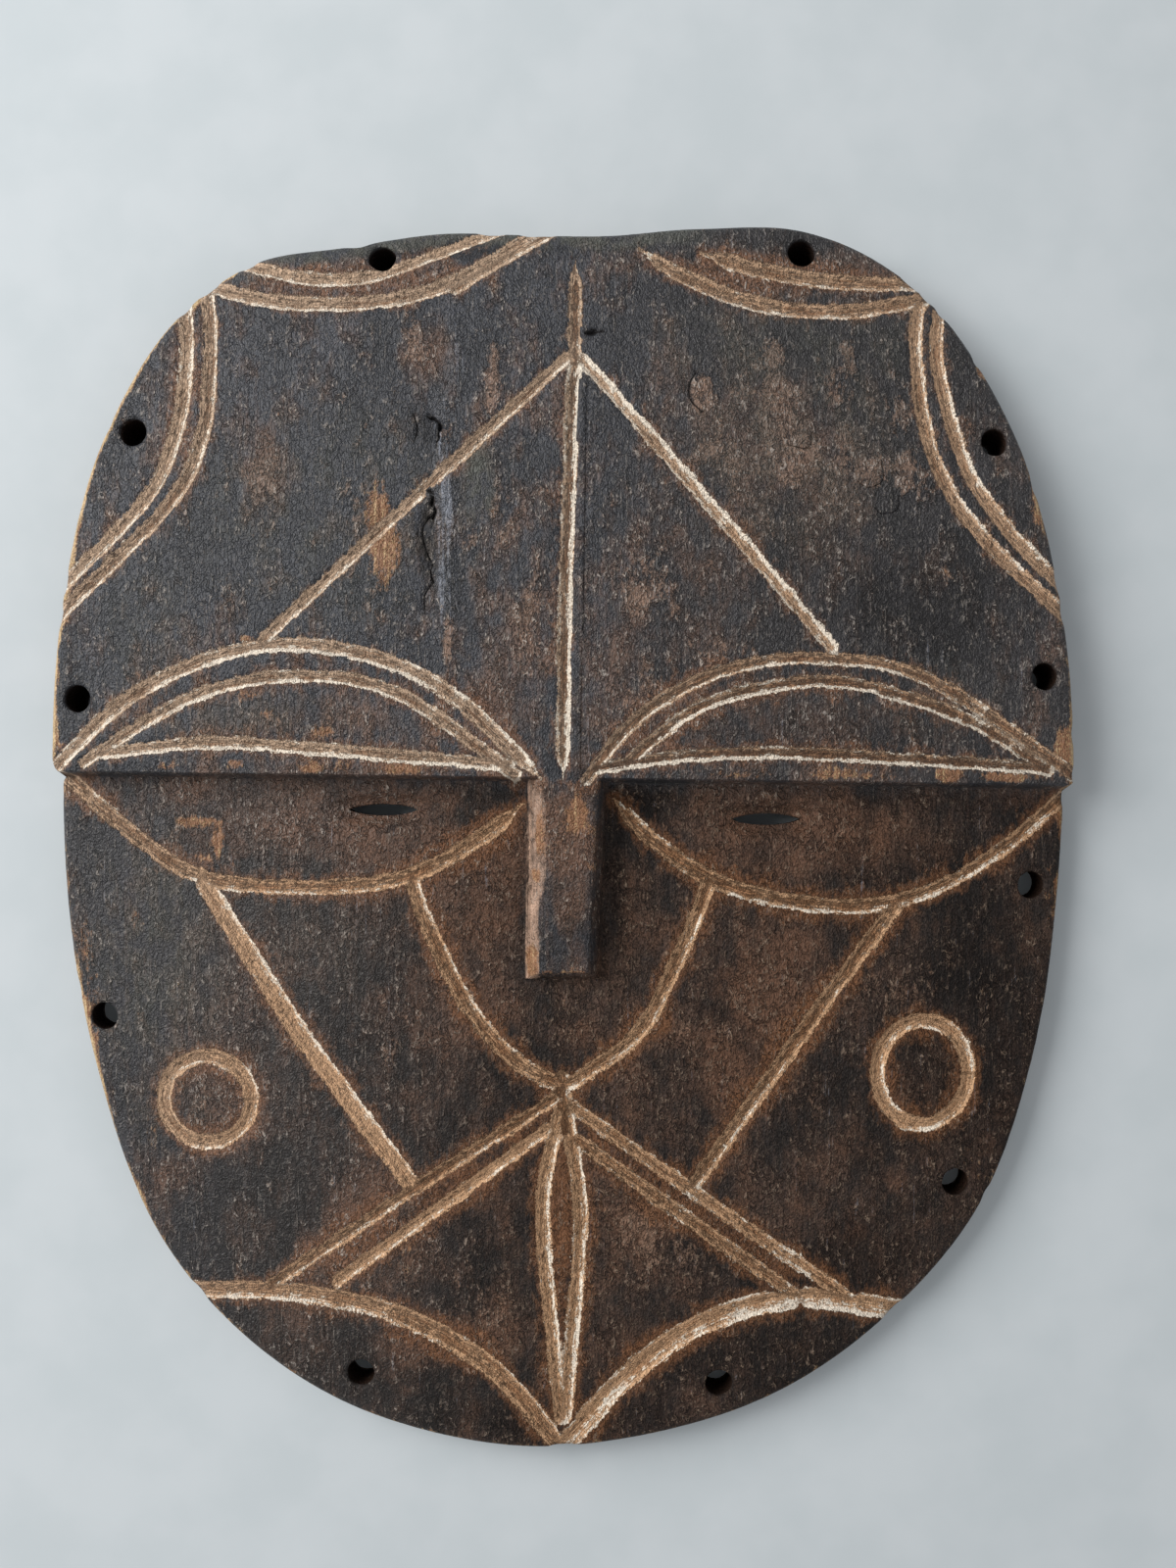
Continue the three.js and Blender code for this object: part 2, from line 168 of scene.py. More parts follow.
def noise(x, y, size, seed=0, z=0.0, size_y=None):
    """Smooth lattice noise from -1 to 1, the same on every run."""
    px, py = np.asarray(x) / size, np.asarray(y) / (size_y or size)
    pz = np.asarray(z) / size + 0 * px
    ix, iy, iz = np.floor(px), np.floor(py), np.floor(pz)
    fx, fy, fz = (t * t * (3 - 2 * t) for t in (px - ix, py - iy, pz - iz))
    total = 0.0
    for cx in (0, 1):
        for cy in (0, 1):
            for cz in (0, 1):
                share = ((fx if cx else 1 - fx) * (fy if cy else 1 - fy) * (fz if cz else 1 - fz))
                total = total + share * lattice(ix + cx, iy + cy, iz + cz, seed + SEED)
    return total


def smooth(t):
    t = np.clip(t, 0, 1)
    return t * t * (3 - 2 * t)


# Smooth lines through points

def cubic(start, end, leaving, arriving, count):
    """Points from start towards end, with the velocities at both."""
    t = (np.arange(count) / count)[:, None]
    a, b = 2 * start - 2 * end + leaving + arriving, -3 * start + 3 * end - 2 * leaving - arriving
    return a * t ** 3 + b * t ** 2 + leaving * t + start


def uniform_spline(points, spacing):
    p = np.array([points[0], *points, points[-1]], float)
    found = []
    for i in range(1, len(p) - 2):
        count = max(4, int(np.hypot(*(p[i + 1] - p[i])) / spacing))
        found.append(cubic(p[i], p[i + 1], (p[i + 1] - p[i - 1]) / 2, (p[i + 2] - p[i]) / 2, count))
    return np.vstack([*found, p[-2]])


def closed_spline(points, count):
    """A closed centripetal spline, in equal steps along its length."""
    p = np.array(points, float)
    n = len(p)
    found = []
    for i in range(n):
        p0, p1, p2, p3 = p[i - 1], p[i], p[(i + 1) % n], p[(i + 2) % n]
        d0, d1, d2 = (np.sqrt(np.hypot(*q)) for q in (p1 - p0, p2 - p1, p3 - p2))
        t1 = ((p1 - p0) / d0 - (p2 - p0) / (d0 + d1) + (p2 - p1) / d1) * d1
        t2 = ((p2 - p1) / d1 - (p3 - p1) / (d1 + d2) + (p3 - p2) / d2) * d1
        found.append(cubic(p1, p2, t1, t2, 80))
    return even_steps(np.vstack([*found, p[0]]), count)[:-1]


def even_steps(path, count):
    reach = np.concatenate([[0], np.cumsum(np.hypot(*np.diff(path, axis=0).T))])
    at = np.linspace(0, reach[-1], count + 1)
    return np.column_stack([np.interp(at, reach, path[:, k]) for k in (0, 1)])


def turns(count):
    return np.arange(count) / count * 2 * np.pi


def ellipse(centre, rx, ry, turn):
    return np.column_stack([centre[0] + rx * np.cos(turn), centre[1] + ry * np.sin(turn)])


def directions(path):
    """The way a path runs at each of its points."""
    along = np.gradient(path, axis=0)
    return along / np.hypot(*along.T)[:, None]


def drawn_in(path, distance):
    """A path about the middle, moved towards it."""
    return path * (1 - distance / np.hypot(*path.T))[:, None]


def line_path(kind, points, spacing):
    if kind == "ring":
        centre, (rx, ry) = points
        path = ellipse(centre, rx, ry, np.linspace(0, 2 * np.pi, 400))
    elif kind == "curve":
        path = uniform_spline(points, spacing)
    else:
        path = np.array(points, float)
    length = np.hypot(*np.diff(path, axis=0).T).sum()
    return even_steps(path, max(8, round(length / spacing)))


# The outline

BOARD = closed_spline(OVAL, 1440)
PLAN_MIDDLE = (BOARD.min(0) + BOARD.max(0)) / 2
CAD_MARGIN = 0.15

# where the edge is chipped: a point on it, half the chip's length and its depth
NICKS = [
    ((-132.5, -103.5), 3.5, 1.2), ((-128, -113), 3, 0.9), ((-144, -45), 5, 0.8), ((121, 139), 4, 1.1),
    ((138, 103), 6, 0.9), ((149, 30), 5, 1.0), ((-60, 174), 7, 1.3), ((-133, 121), 5, 0.7),
    ((127, -107), 4, 0.7), ((-149, 19), 3, 1.0),
]


def radius_at(x, y, loop=BOARD):
    turned = np.arctan2(loop[:, 1], loop[:, 0])
    return np.interp(np.arctan2(y, x), turned, np.hypot(*loop.T), period=2 * np.pi)


def inset_of(x, y, loop=BOARD):
    """How far inside the outline a point lies, measured towards the middle."""
    return radius_at(x, y, loop) - np.hypot(x, y)


def edge_points(count):
    path = even_steps(np.vstack([BOARD, BOARD[:1]]), count)[:-1]
    inward = CAD_MARGIN + 0.25 * np.abs(noise(path[:, 0], path[:, 1], 3.2, 3))
    inward += 0.35 * np.clip(noise(path[:, 0], path[:, 1], 14, 4), 0, 1)
    for (nx, ny), reach, depth in NICKS:
        away = np.hypot(path[:, 0] - nx, path[:, 1] - ny) / reach
        inward += depth * smooth(1 - away)
    return drawn_in(path, inward)


# Heights of the front and the back

def dome(half, x, y):
    across = (x / half["half_width"]) ** 2
    along = ((y - half["middle_y"]) / half["half_height"]) ** 2
    return half["crown"] - half["across"] * across - half["along"] * along


def brow_y(x):
    (lx, ly), (rx, ry) = BROW["left"], BROW["right"]
    return ly + (x - lx) * (ry - ly) / (rx - lx)


def nose_height(x, y):
    """The nose bar's flanks, tip and top as one surface, far below the face away from it."""
    root, tip = NOSE["root"], NOSE["tip"]
    t = np.clip((y - tip["y"]) / (root["y"] - tip["y"]), -0.2, 1)
    at = {k: tip[k] + (root[k] - tip[k]) * t for k in root}
    fall = at["top"] - CHEEKS["crown"]
    left = at["top"] - fall * (at["left"] - x) / (at["left"] - at["foot_left"])
    right = at["top"] - fall * (x - at["right"]) / (at["foot_right"] - at["right"])
    blunt = at["top"] - fall * (tip["y"] - y) / (tip["y"] - NOSE["foot_y"])
    return np.minimum(np.minimum(left, right), np.minimum(blunt, at["top"]))


def lens_share(x, y, centre, length, height):
    """0 at the middle of a pointed lens, 1 on its outline."""
    across = np.clip(1 - ((x - centre[0]) / (length / 2)) ** 2, 1e-4, None)
    return np.maximum(np.abs(y - centre[1]) / (height / 2 * across ** 0.75),
                      np.abs(x - centre[0]) / (length / 2))


def front_height(x, y):
    lip, foot = brow_y(x), brow_y(x) - BROW["slope"]
    upper, lower = dome(FOREHEAD, x, y), dome(CHEEKS, x, y)
    for centre in SLITS:
        share = lens_share(x, y, centre, SLIT["bed_length"], SLIT["bed_height"])
        lower = lower - SLIT["bed_depth"] * smooth((1.0 - share) / 0.7)
    step = np.clip((y - foot) / (lip - foot), 0, 1)
    z = lower + (upper - lower) * step
    return np.maximum(z, np.where(y < lip, nose_height(x, y), z))


def edge_fall(inset):
    """How far the worn front edge has dropped at a distance inside the outline."""
    return np.interp(inset, ARRIS_AT, ARRIS_DROP)


def back_height(x, y):
    inset = inset_of(x, y)
    wall = smooth((inset - RIM_WIDTH) / HOLLOW_WALL)
    share = np.hypot(x, y) / np.maximum(radius_at(x, y) - RIM_WIDTH - HOLLOW_WALL, 1)
    deep = HOLLOW_TOP - (HOLLOW_TOP - HOLLOW_WALL_TOP) * np.minimum(share, 1) ** 2
    return wall * deep


# Where the mesh's points go

def lens_loop(centre, length, height, count):
    turn = turns(count)
    rise = np.sign(np.sin(turn)) * np.abs(np.sin(turn)) ** 1.5
    return np.column_stack([centre[0] + length / 2 * np.cos(turn), centre[1] + height / 2 * rise])


def circle_loop(centre, radius, count):
    turn = turns(count)
    wobble = 1 - 0.03 * np.abs(noise(np.cos(turn) * 3 + centre[0], np.sin(turn) * 3 + centre[1], 2.0, 5))
    return ellipse(centre, radius * wobble, radius * wobble, turn)


def hex_points(spacing, reach_x, reach_y):
    rows = np.arange(-reach_y, reach_y, spacing * 0.866)
    found = []
    for i, y in enumerate(rows):
        xs = np.arange(-reach_x, reach_x, spacing) + (spacing / 2 if i % 2 else 0)
        found.append(np.column_stack([xs, np.full(len(xs), y)]))
    points = np.vstack(found)
    shift = 0.2 * spacing
    points[:, 0] += shift * noise(points[:, 0], points[:, 1], spacing, 21)
    points[:, 1] += shift * noise(points[:, 0], points[:, 1], spacing, 22)
    return points


def along_rows(path, offsets):
    """Rows of points that run beside a path."""
    along = directions(path)
    side = np.column_stack([-along[:, 1], along[:, 0]])
    return np.vstack([path + side * offset for offset in offsets])


def straight(a, b, spacing):
    count = max(2, int(np.hypot(b[0] - a[0], b[1] - a[1]) / spacing))
    t = np.linspace(0, 1, count)[:, None]
    return np.array(a) * (1 - t) + np.array(b) * t


def feature_rows():
    """Rows on the sharp features: both ends of the brow's step, and the nose's edges and feet."""
    slope = BROW["slope"]
    (lx, ly), (rx, ry) = BROW["left"], BROW["right"]
    brow = straight((lx - 3, brow_y(lx - 3)), (rx + 3, brow_y(rx + 3)), 0.8)
    step = [1.6, 0.8, 0.3, 0, -slope * 0.35, -slope * 0.7, -slope, -slope - 0.6, -slope - 1.4]
    rows = [along_rows(brow, step)]
    root, tip, foot_y = NOSE["root"], NOSE["tip"], NOSE["foot_y"]
    for side in ("left", "right"):
        foot = "foot_" + side
        top_edge = straight((tip[side], tip["y"]), (root[side], brow_y(root[side])), 0.7)
        foot_edge = straight((tip[foot], foot_y), (root[foot], brow_y(root[foot])), 0.7)
        foot_edge = even_steps(foot_edge, len(top_edge) - 1)
        for share in (-0.18, 0, 0.15, 0.4, 0.7, 0.92, 1.0, 1.15, 1.4):
            rows.append(top_edge * (1 - share) + foot_edge * share)
    for share in (-0.2, 0, 0.25, 0.5, 0.75, 1.0, 1.3):
        left = tip["left"] + (tip["foot_left"] - tip["left"]) * share
        right = tip["right"] + (tip["foot_right"] - tip["right"]) * share
        y = tip["y"] + (foot_y - tip["y"]) * share
        rows.append(straight((left, y), (right, y), 0.7))
    return np.vstack(rows)


def rows_beside(table, spacing, shares):
    """Rows of points along each path of a table, on it and at shares of half its width on both sides."""
    signed = [0, *(sign * share for share in shares for sign in (-1, 1))]
    return np.vstack([
        along_rows(line_path(kind, points, spacing), [width / 2 * share for share in signed])
        for kind, points, width, *_ in table.values()])


def thinned(groups, allowed):
    """Points in order of importance, each dropped if it crowds an earlier one or isn't allowed."""
    cell = 2.0
    taken, kept = {}, []
    for points, gap in groups:
        for x, y in points[allowed(points)]:
            cx, cy = int(x // cell), int(y // cell)
            near = [p for ix in (cx - 1, cx, cx + 1) for iy in (cy - 1, cy, cy + 1)
                    for p in taken.get((ix, iy), ())]
            if all((px - x) ** 2 + (py - y) ** 2 > gap * gap for px, py in near):
                taken.setdefault((cx, cy), []).append((x, y))
                kept.append((x, y))
    return np.array(kept)


def encloses(loop, points):
    """Whether each point lies inside a closed loop."""
    x, y = points[:, :1], points[:, 1:]
    (x0, y0), (x1, y1) = loop.T, np.roll(loop, -1, axis=0).T
    crosses = (y0 > y) != (y1 > y)
    reach = x0 + (y - y0) * (x1 - x0) / np.where(y1 == y0, 1, y1 - y0)
    return (crosses & (x < reach)).sum(1) % 2 == 1


def triangulate(loops, inner):
    """Triangles over the board between its outline, which is the first loop, and its openings."""
    points = np.vstack([*loops, inner])
    edges, owner, start = [], np.full(len(points), -1), 0
    for k, loop in enumerate(loops):
        n = len(loop)
        edges += [(start + i, start + (i + 1) % n) for i in range(n)]
        owner[start:start + n] = k
        start += n
    found = delaunay_2d_cdt([tuple(p) for p in points], edges, [], 1, 1e-6, False)
    verts = np.array([tuple(v) for v in found[0]])
    if len(verts) != len(points):
        raise RuntimeError("the outline and its openings cross")
    faces = np.array(found[2])
    middles = verts[faces].mean(1)
    keep = np.ones(len(faces), bool)
    for k, loop in enumerate(loops):
        own = (owner[faces] == k).all(1)
        within = encloses(loop, middles[own])
        keep[own] = within if k == 0 else ~within
    return verts, faces[keep]


# Marks of use and age

# fissures, pits and scratches: kind, points, width, depth
CRACKS = {
    "knot hook": (
        "curve", [(-37.8, 121.4), (-36, 120.6), (-35, 117.6), (-35.6, 114), (-36.6, 112)], 1.4, 1.3),
    "knot fray": ("curve", [(-42.6, 121.4), (-41.6, 118), (-42.4, 114.6)], 0.7, 0.6),
    "pit on the roof line": ("curve", [(-38.4, 100.6), (-37.4, 98.4), (-38, 96)], 1.5, 1.4),
    "pit under the roof line": ("curve", [(-37, 95.6), (-36.4, 93.8), (-37, 92)], 1.2, 1.2),
    "fissure": ("curve", [(-38, 92.6), (-40, 89), (-39.4, 84), (-37.8, 80)], 0.8, 0.9),
    "lower pit": ("curve", [(-36.8, 78.6), (-37.4, 76), (-37, 73.6)], 1.1, 1.2),
    "fissure tail": ("curve", [(-37.6, 72.6), (-39.4, 69.6), (-39.2, 65)], 0.8, 0.7),
    "check beside the middle line": ("line", [(7.2, 131), (6.2, 60)], 0.6, 0.14),
    "check above the nose": ("line", [(5.8, 52), (5.4, 20)], 0.6, 0.14),
    "knot": ("curve", [(39, 134.8), (36.9, 131), (37.1, 126.6), (40, 123.4)], 0.8, 0.35),
    "nail pit": ("curve", [(7.2, 146.2), (9, 146.4), (11, 146.5)], 2.5, 1.5),
    "crescent mark": ("curve", [(92.6, 108.4), (93, 103.6), (88.8, 101.4), (85.8, 103)], 0.6, 0.2),
    "lower crescent mark": ("curve", [(97.6, 99), (97, 95), (92.6, 93.8), (90.8, 95.4)], 0.6, 0.2),
    "scratch": ("curve", [(66, 113.4), (71.4, 112.8), (72.2, 117)], 0.6, 0.14),
}

# where the stain is worn to a warm brown: middle, reach across and along, strength
WARM = [
    (-14, 75, 26, 62, 0.28), (30, 56, 26, 62, 0.5), (62, 112, 36, 44, 0.5), (-86, 104, 10, 20, 0.6),
    (-38.5, 140.5, 11, 12, 0.6), (112, 78, 12, 10, 0.5), (-70, 34, 60, 16, 0.4), (76, 34, 60, 14, 0.42),
    (-62, 6, 64, 20, 0.75), (-40, -2, 30, 14, 0.85), (-104, -2, 18, 10, 0.9), (74, 0, 66, 22, 0.75),
    (60, -8, 34, 8, 0.7), (1, 0, 11, 18, 1.3), (2, -14, 9, 18, 1.0), (6, 22, 10, 6, 0.6),
    (-20, -12, 16, 36, 0.85), (22, -24, 16, 36, 0.5), (-24, -50, 22, 14, 0.7), (20, -58, 28, 12, 0.7),
    (-33, -24, 14, 26, 0.8), (62, -46, 26, 36, 0.95), (48, -66, 16, 26, 0.9), (-54, -60, 10, 28, 0.6),
    (-44, -78, 16, 18, 0.6), (0, -110, 76, 36, 0.45), (-26, -104, 20, 14, 0.7), (28, -112, 22, 12, 0.85),
    (-60, -112, 16, 22, 1.0), (-66, -122, 20, 12, 0.85), (0, -112, 4, 28, 1.0), (-38, -128, 26, 8, 0.7),
    (-104, -80, 26, 26, 0.7), (-118, -104, 12, 18, 0.6), (107, -72, 24, 24, 0.55), (84, -92, 14, 16, 0.65),
    (112, -40, 12, 10, 0.3), (-34, -150, 34, 12, 0.9), (24, -150, 26, 12, 0.8), (60, 165, 46, 8, 0.8),
    (-60, 163, 40, 8, 0.6), (-110, 130, 8, 30, 0.35), (-16, 30, 16, 24, 0.55), (-92, -118, 16, 14, 0.6),
    (88, -122, 16, 12, 0.6),
]

# where the stain is rubbed to a pale grey brown: middle, reach across and along, strength
RUBBED = [
    (-86.5, 103, 7, 17, 0.7), (-60, 97, 5, 12, 0.7), (-17, 92, 6, 12, 0.5), (-19.8, 131, 3, 15, 1.4),
    (-42, 145, 5, 9, 0.9), (-25.5, 86.5, 4.4, 6, 0.9), (-32.6, 57, 1.5, 10, 1.5), (62, 141, 6, 8, 0.95),
    (62.5, 128, 10, 9, 1.05), (68.5, 110, 10, 9, 1.2), (66, 104, 5, 5, 1.3), (41.4, 128.8, 5.4, 7.4, 1.7),
    (83.6, 140, 4, 10, 1.0), (80.5, 131, 5.5, 9, 0.95), (80.5, 111.5, 5, 9, 1.05), (46, 114, 7, 6, 0.8),
    (65, 119, 5, 14, 0.9), (98, 124, 5, 12, 0.9), (88.6, 106, 8, 6.5, 1.05), (101.4, 105, 6, 10, 1.05),
    (112, 76, 4, 6, 1.0), (24.5, 72, 12, 16, 0.8), (22, 42, 10, 12, 0.8), (-9, 63, 6, 24, 0.6),
    (46, 52, 16, 8, 0.5), (-33, -4, 12, 8, 0.5), (-50, -58, 5, 16, 0.4), (-104, -78, 10, 9, 0.5),
    (52, -48, 12, 18, 0.3), (-46, -118, 6, 14, 0.6), (30, -115, 18, 16, 0.75), (104, -44, 16, 14, 0.55),
    (-110, 2, 18, 9, 0.5), (-20, -140, 10, 10, 0.35), (-33, 118, 3, 8, 0.8), (55, 165, 32, 7, 0.9),
    (-60, 165, 30, 6, 0.5), (-100, 70, 10, 12, 0.3), (-52, 70, 10, 14, 0.3), (62, 114, 36, 36, 0.5),
    (126, 88, 6, 10, 0.4), (-120, 30, 10, 6, 0.4), (-70, 33, 26, 6, 0.4),
]

# where grey dust dulls the stain, and where a grey sheen of the window's light is painted on it: middle,
# reach across and along, strength
DUST_AND_SHEEN_SPOTS = [
    (-120, -34, 24, 44, 0.5), (-96, 34, 36, 10, 0.3), (-120, 62, 18, 30, 0.25), (-118, -80, 14, 14, 0.3),
    (-70, -34, 18, 16, 0.2), (66, 118, 36, 40, 0.45), (-68, 92, 46, 36, 0.35), (112, 40, 20, 12, 0.2),
    (66, 142, 46, 16, 0.45), (-24, 101, 5, 17, 1.3),
]

# where soot and handling have left the stain darkest, and where shade is painted in the corner under the brow
# and down the right side of the nose: middle, reach across and along, strength
DARK = [
    (-38.8, 86, 3.6, 18, 0.75), (-38.6, 117, 3.4, 7, 0.6), (124, -66, 34, 66, 0.55),
    (60, -156, 56, 20, 0.38), (0, -172, 60, 10, 0.5), (-60, -158, 50, 16, 0.3), (22, 8, 8, 8, 0.8),
    (17, -14, 4, 24, 0.5), (4, -28, 9, 16, 0.25), (-30, 172, 50, 5, 0.5), (90, 130, 14, 30, 0.15),
    (76, 80, 30, 26, 0.25), (102, 68, 36, 22, 0.5), (80, 31, 50, 9, 0.35), (88, -126, 26, 16, 0.55),
    (-92, -160, 40, 24, 0.3), (110, -10, 40, 16, 0.3),
]

# where bare ochre wood shows: middle, reach across and along, strength
BARE = [
    (-52.6, 94, 5.6, 11, 1.0), (-51.2, 84, 6.2, 15, 1.05), (-107.6, 4.4, 8.6, 2.1, 1.2),
    (-101.6, -1, 2.6, 7, 1.2), (-106.5, -6.4, 5.6, 1.9, 0.9), (4.6, 6.4, 4.6, 8, 1.3),
    (-19.2, 135, 0.9, 10, 0.4), (8.4, -8.3, 1.8, 3, 0.9), (2, -2, 8, 9, 0.35), (78.3, 18.8, 9, 2.6, 1.1),
    (50, 18.4, 16, 1.6, 0.5), (88, 18, 3, 1.5, 0.9), (111.8, 18.4, 6, 2.8, 1.4), (129, 17.8, 12, 2.2, 1.0),
    (-114.6, 21, 5, 2, 0.7), (-72, 20.6, 5, 2.4, 1.05), (-90, 57, 6, 3, 0.85), (-62.5, 56.5, 4, 2, 0.6),
    (-91, 41, 4, 3, 0.85), (-68, 30.5, 5, 2.6, 0.9), (-84, 36, 5, 2, 0.55), (-64, 21, 7, 2.4, 0.55),
    (-45.6, 20, 8, 2.4, 0.95), (-94, 21.4, 4, 2.2, 1.0), (41.6, 129.6, 3.4, 5, 0.5),
    (-140.5, -56, 4, 24, 0.7), (-142, -30, 3, 10, 0.5), (-126, -24, 3, 6, 0.5), (-121, -88, 6, 8, 0.35),
    (-127, -108, 5, 8, 0.5), (96, 17.5, 6, 1.6, 0.6), (138, 18, 7, 1.6, 0.6), (149, 8, 3, 12, 0.7),
    (146.5, 25, 4, 9, 1.2), (139.5, 98, 3.5, 10, 0.85), (-148, 24, 4, 10, 0.6), (146, -16, 4, 12, 0.5),
    (122, -97, 7, 9, 0.35), (-146, 98, 6, 40, 0.4), (123.5, 137, 2.6, 3.6, 0.95), (-22, 96, 4, 5, 0.3),
    (-46, -124, 5, 10, 0.4), (112.5, 76, 2.4, 4, 0.7), (-52, 8, 14, 1.2, 0.3),
]


def patches(x, y, spots):
    total = np.zeros(len(x))
    for cx, cy, rx, ry, strength in spots:
        share = np.hypot((x - cx) / rx, (y - cy) / ry)
        total = np.maximum(total, strength * smooth(1.25 - share))
    return total


# The blank, before the lines are cut

EDGE_POINTS, HOLE_POINTS, SLIT_POINTS, BED_POINTS, BORE_ROW_POINTS = 880, 36, 56, 60, 30
FRONT_SPACING, BACK_SPACING = 1.65, 3.4
MESH_REACH = (152, 184)
RIM_ROWS, LEDGE_ROWS = (0.75, 1.6, 2.7, 4.2, 6.0), (0, 3, 6, 9)
GROOVE_SHARES, CRACK_SHARES = (0.45, 0.75, 1.0, 1.3), (0.6, 1.2)
WALL_LEVELS, BORE_LEVELS = (0.1, 0.25, 0.4, 0.55, 0.7, 0.85, 0.96), (0.12, 0.35, 0.6, 0.85)
FRONT_CHAMFER, BACK_CHAMFER = 0.12, 0.3

# the part of the board that a point belongs to
FACE, BACK, WALL, OPENING = range(4)

# how far wear and growth move the face, in millimetres
TOP_EDGE_WORN, SWOLLEN, SUNK, NOSE_WORN, BORE_WORN = 3.2, 0.8, 0.5, 0.9, 0.45


def openings(widen):
    loops = [circle_loop(centre, HOLE_RADIUS + widen, HOLE_POINTS) for centre in HOLES]
    for centre in SLITS:
        loops.append(lens_loop(centre, SLIT["length"] + 2 * widen, SLIT["height"] + 2 * widen, SLIT_POINTS))
    return loops


def clear_of_openings(points, gap):
    x, y = points.T
    clear = np.ones(len(points), bool)
    for cx, cy in HOLES:
        clear &= np.hypot(x - cx, y - cy) > HOLE_RADIUS + gap
    for centre in SLITS:
        share = lens_share(x, y, centre, SLIT["length"] + 3 * gap, SLIT["height"] + 3 * gap)
        clear &= share > 1
    return clear


def front_points(edge):
    rim = [drawn_in(edge, distance) for distance in RIM_ROWS]
    beds = [lens_loop(centre, SLIT["length"] + k * 3, SLIT["height"] + k * 1.6, BED_POINTS)
            for centre in SLITS for k in range(1, 6)]
    bores = [ellipse(centre, HOLE_RADIUS + more, HOLE_RADIUS + more, turns(BORE_ROW_POINTS))
             for centre in HOLES for more in (0.6, 1.3)]
    groups = [
        (feature_rows(), 0.24), (rows_beside(LINES, 0.95, GROOVE_SHARES), 0.34),
        (rows_beside(CRACKS, 0.6, CRACK_SHARES), 0.28), (np.vstack(bores), 0.4), (np.vstack(beds), 0.5),
        (np.vstack(rim), 0.6), (hex_points(FRONT_SPACING, *MESH_REACH), 0.78 * FRONT_SPACING),
    ]
    return thinned(groups, lambda p: clear_of_openings(p, 0.3) & (inset_of(*p.T, edge) > 0.4))


def face_relief(x, y):
    """The carver's surface: long shallow adze facets, fine grain and pitting."""
    facets = 0.16 * noise(x, y, 26, 31, size_y=44) + 0.09 * noise(x, y, 9, 32, size_y=22)
    grain = 0.035 * noise(x, y, 1.9, 33, size_y=14)
    pits_and_shadows = -0.16 * smooth((noise(x, y, 2.4, 34) - 0.45) / 0.3)
    return facets + grain + pits_and_shadows


def knot_swell(x, y):
    """The ridge of smooth grain that runs down from the knot."""
    middle = -33.8 + 1.0 * np.sin((y - 60) / 13)
    lower = np.exp(-((x - middle) / 2.4) ** 2) * smooth(1.25 - np.abs(y - 93) / 34)
    return np.maximum(lower, 0.6 * np.exp(-((x + 31) / 1.8) ** 2) * smooth(1.25 - np.abs(y - 140) / 13))


def face_heights(points):
    x, y = points.T
    inset = inset_of(x, y)
    z = front_height(x, y) - edge_fall(inset)
    calm = smooth(inset / 8)
    z = z + (face_relief(x, y) - 0.28) * calm
    # the top edge by the left drilled hole is worn to a slope
    worn = smooth((1.3 - np.hypot((x + 48) / 42, (y - 176) / 13)) / 0.8)
    z = z - TOP_EDGE_WORN * worn * smooth((y - 163) / 14)
    # the grain swells round the knot, and sinks to its left
    z = z + SWOLLEN * knot_swell(x, y)
    z = z - SUNK * np.exp(-((x + 38.5) / 3.6) ** 2) * smooth(1.2 - np.abs(y - 96) / 36)
    # the nose's left arris is worn round, the lip of the brow is rounded by handling
    arris = np.interp(y, [NOSE["tip"]["y"], NOSE["root"]["y"]], [NOSE["tip"]["left"], NOSE["root"]["left"]])
    beside = smooth((y + 30) / 12) * smooth((brow_y(x) - 1 - y) / 4)
    z = z - NOSE_WORN * beside * smooth(1 - np.abs(x - arris) / 2.6)
    lip = np.abs(y - brow_y(x)) < 1.2
    z = z - np.where(lip, 0.25 + 0.25 * noise(x, y, 5, 36), 0)
    for cx, cy in HOLES:
        away = np.hypot(x - cx, y - cy) - HOLE_RADIUS
        z = z - BORE_WORN * smooth(1 - away / 1.1)
    return z


def back_heights(points):
    x, y = points.T
    z = back_height(x, y)
    inside = smooth((inset_of(x, y) - RIM_WIDTH) / HOLLOW_WALL)
    gouge = np.abs(np.sin(x / 5.2 + 1.6 * noise(x, y, 40, 41)) * np.cos(y / 17 + 2 * noise(x, y, 30, 42)))
    marks = inside * (0.5 * gouge + 0.25 * noise(x, y, 11, 43))
    return z + marks + 0.12 * np.abs(noise(x, y, 7, 44)) * (z < 0.01)


def wall_ring(top, z_top, level):
    """The outer wall at a level, rough as the adze left it."""
    height = z_top * (1 - level) + BACK_ARRIS * 0.6 * level
    rough = 0.45 * np.abs(noise(*top.T, 6, 51, z=height * 1.7))
    rough += 0.2 * np.abs(noise(*top.T, 2.2, 52, z=height))
    return drawn_in(top, rough), height


def bore_ring(top, low, z_top, z_low, level):
    """The wall of a hole or a slit at a level, a little uneven and wider towards the back."""
    height = z_top * (1 - level) + z_low * level
    rough = 1 - 0.025 * np.abs(noise(*top.T, 1.6, 53, z=height))
    centre, slide = top.mean(0), (low - top) * smooth((level - 0.5) / 0.5)
    return centre + (top + slide - centre) * rough[:, None], height


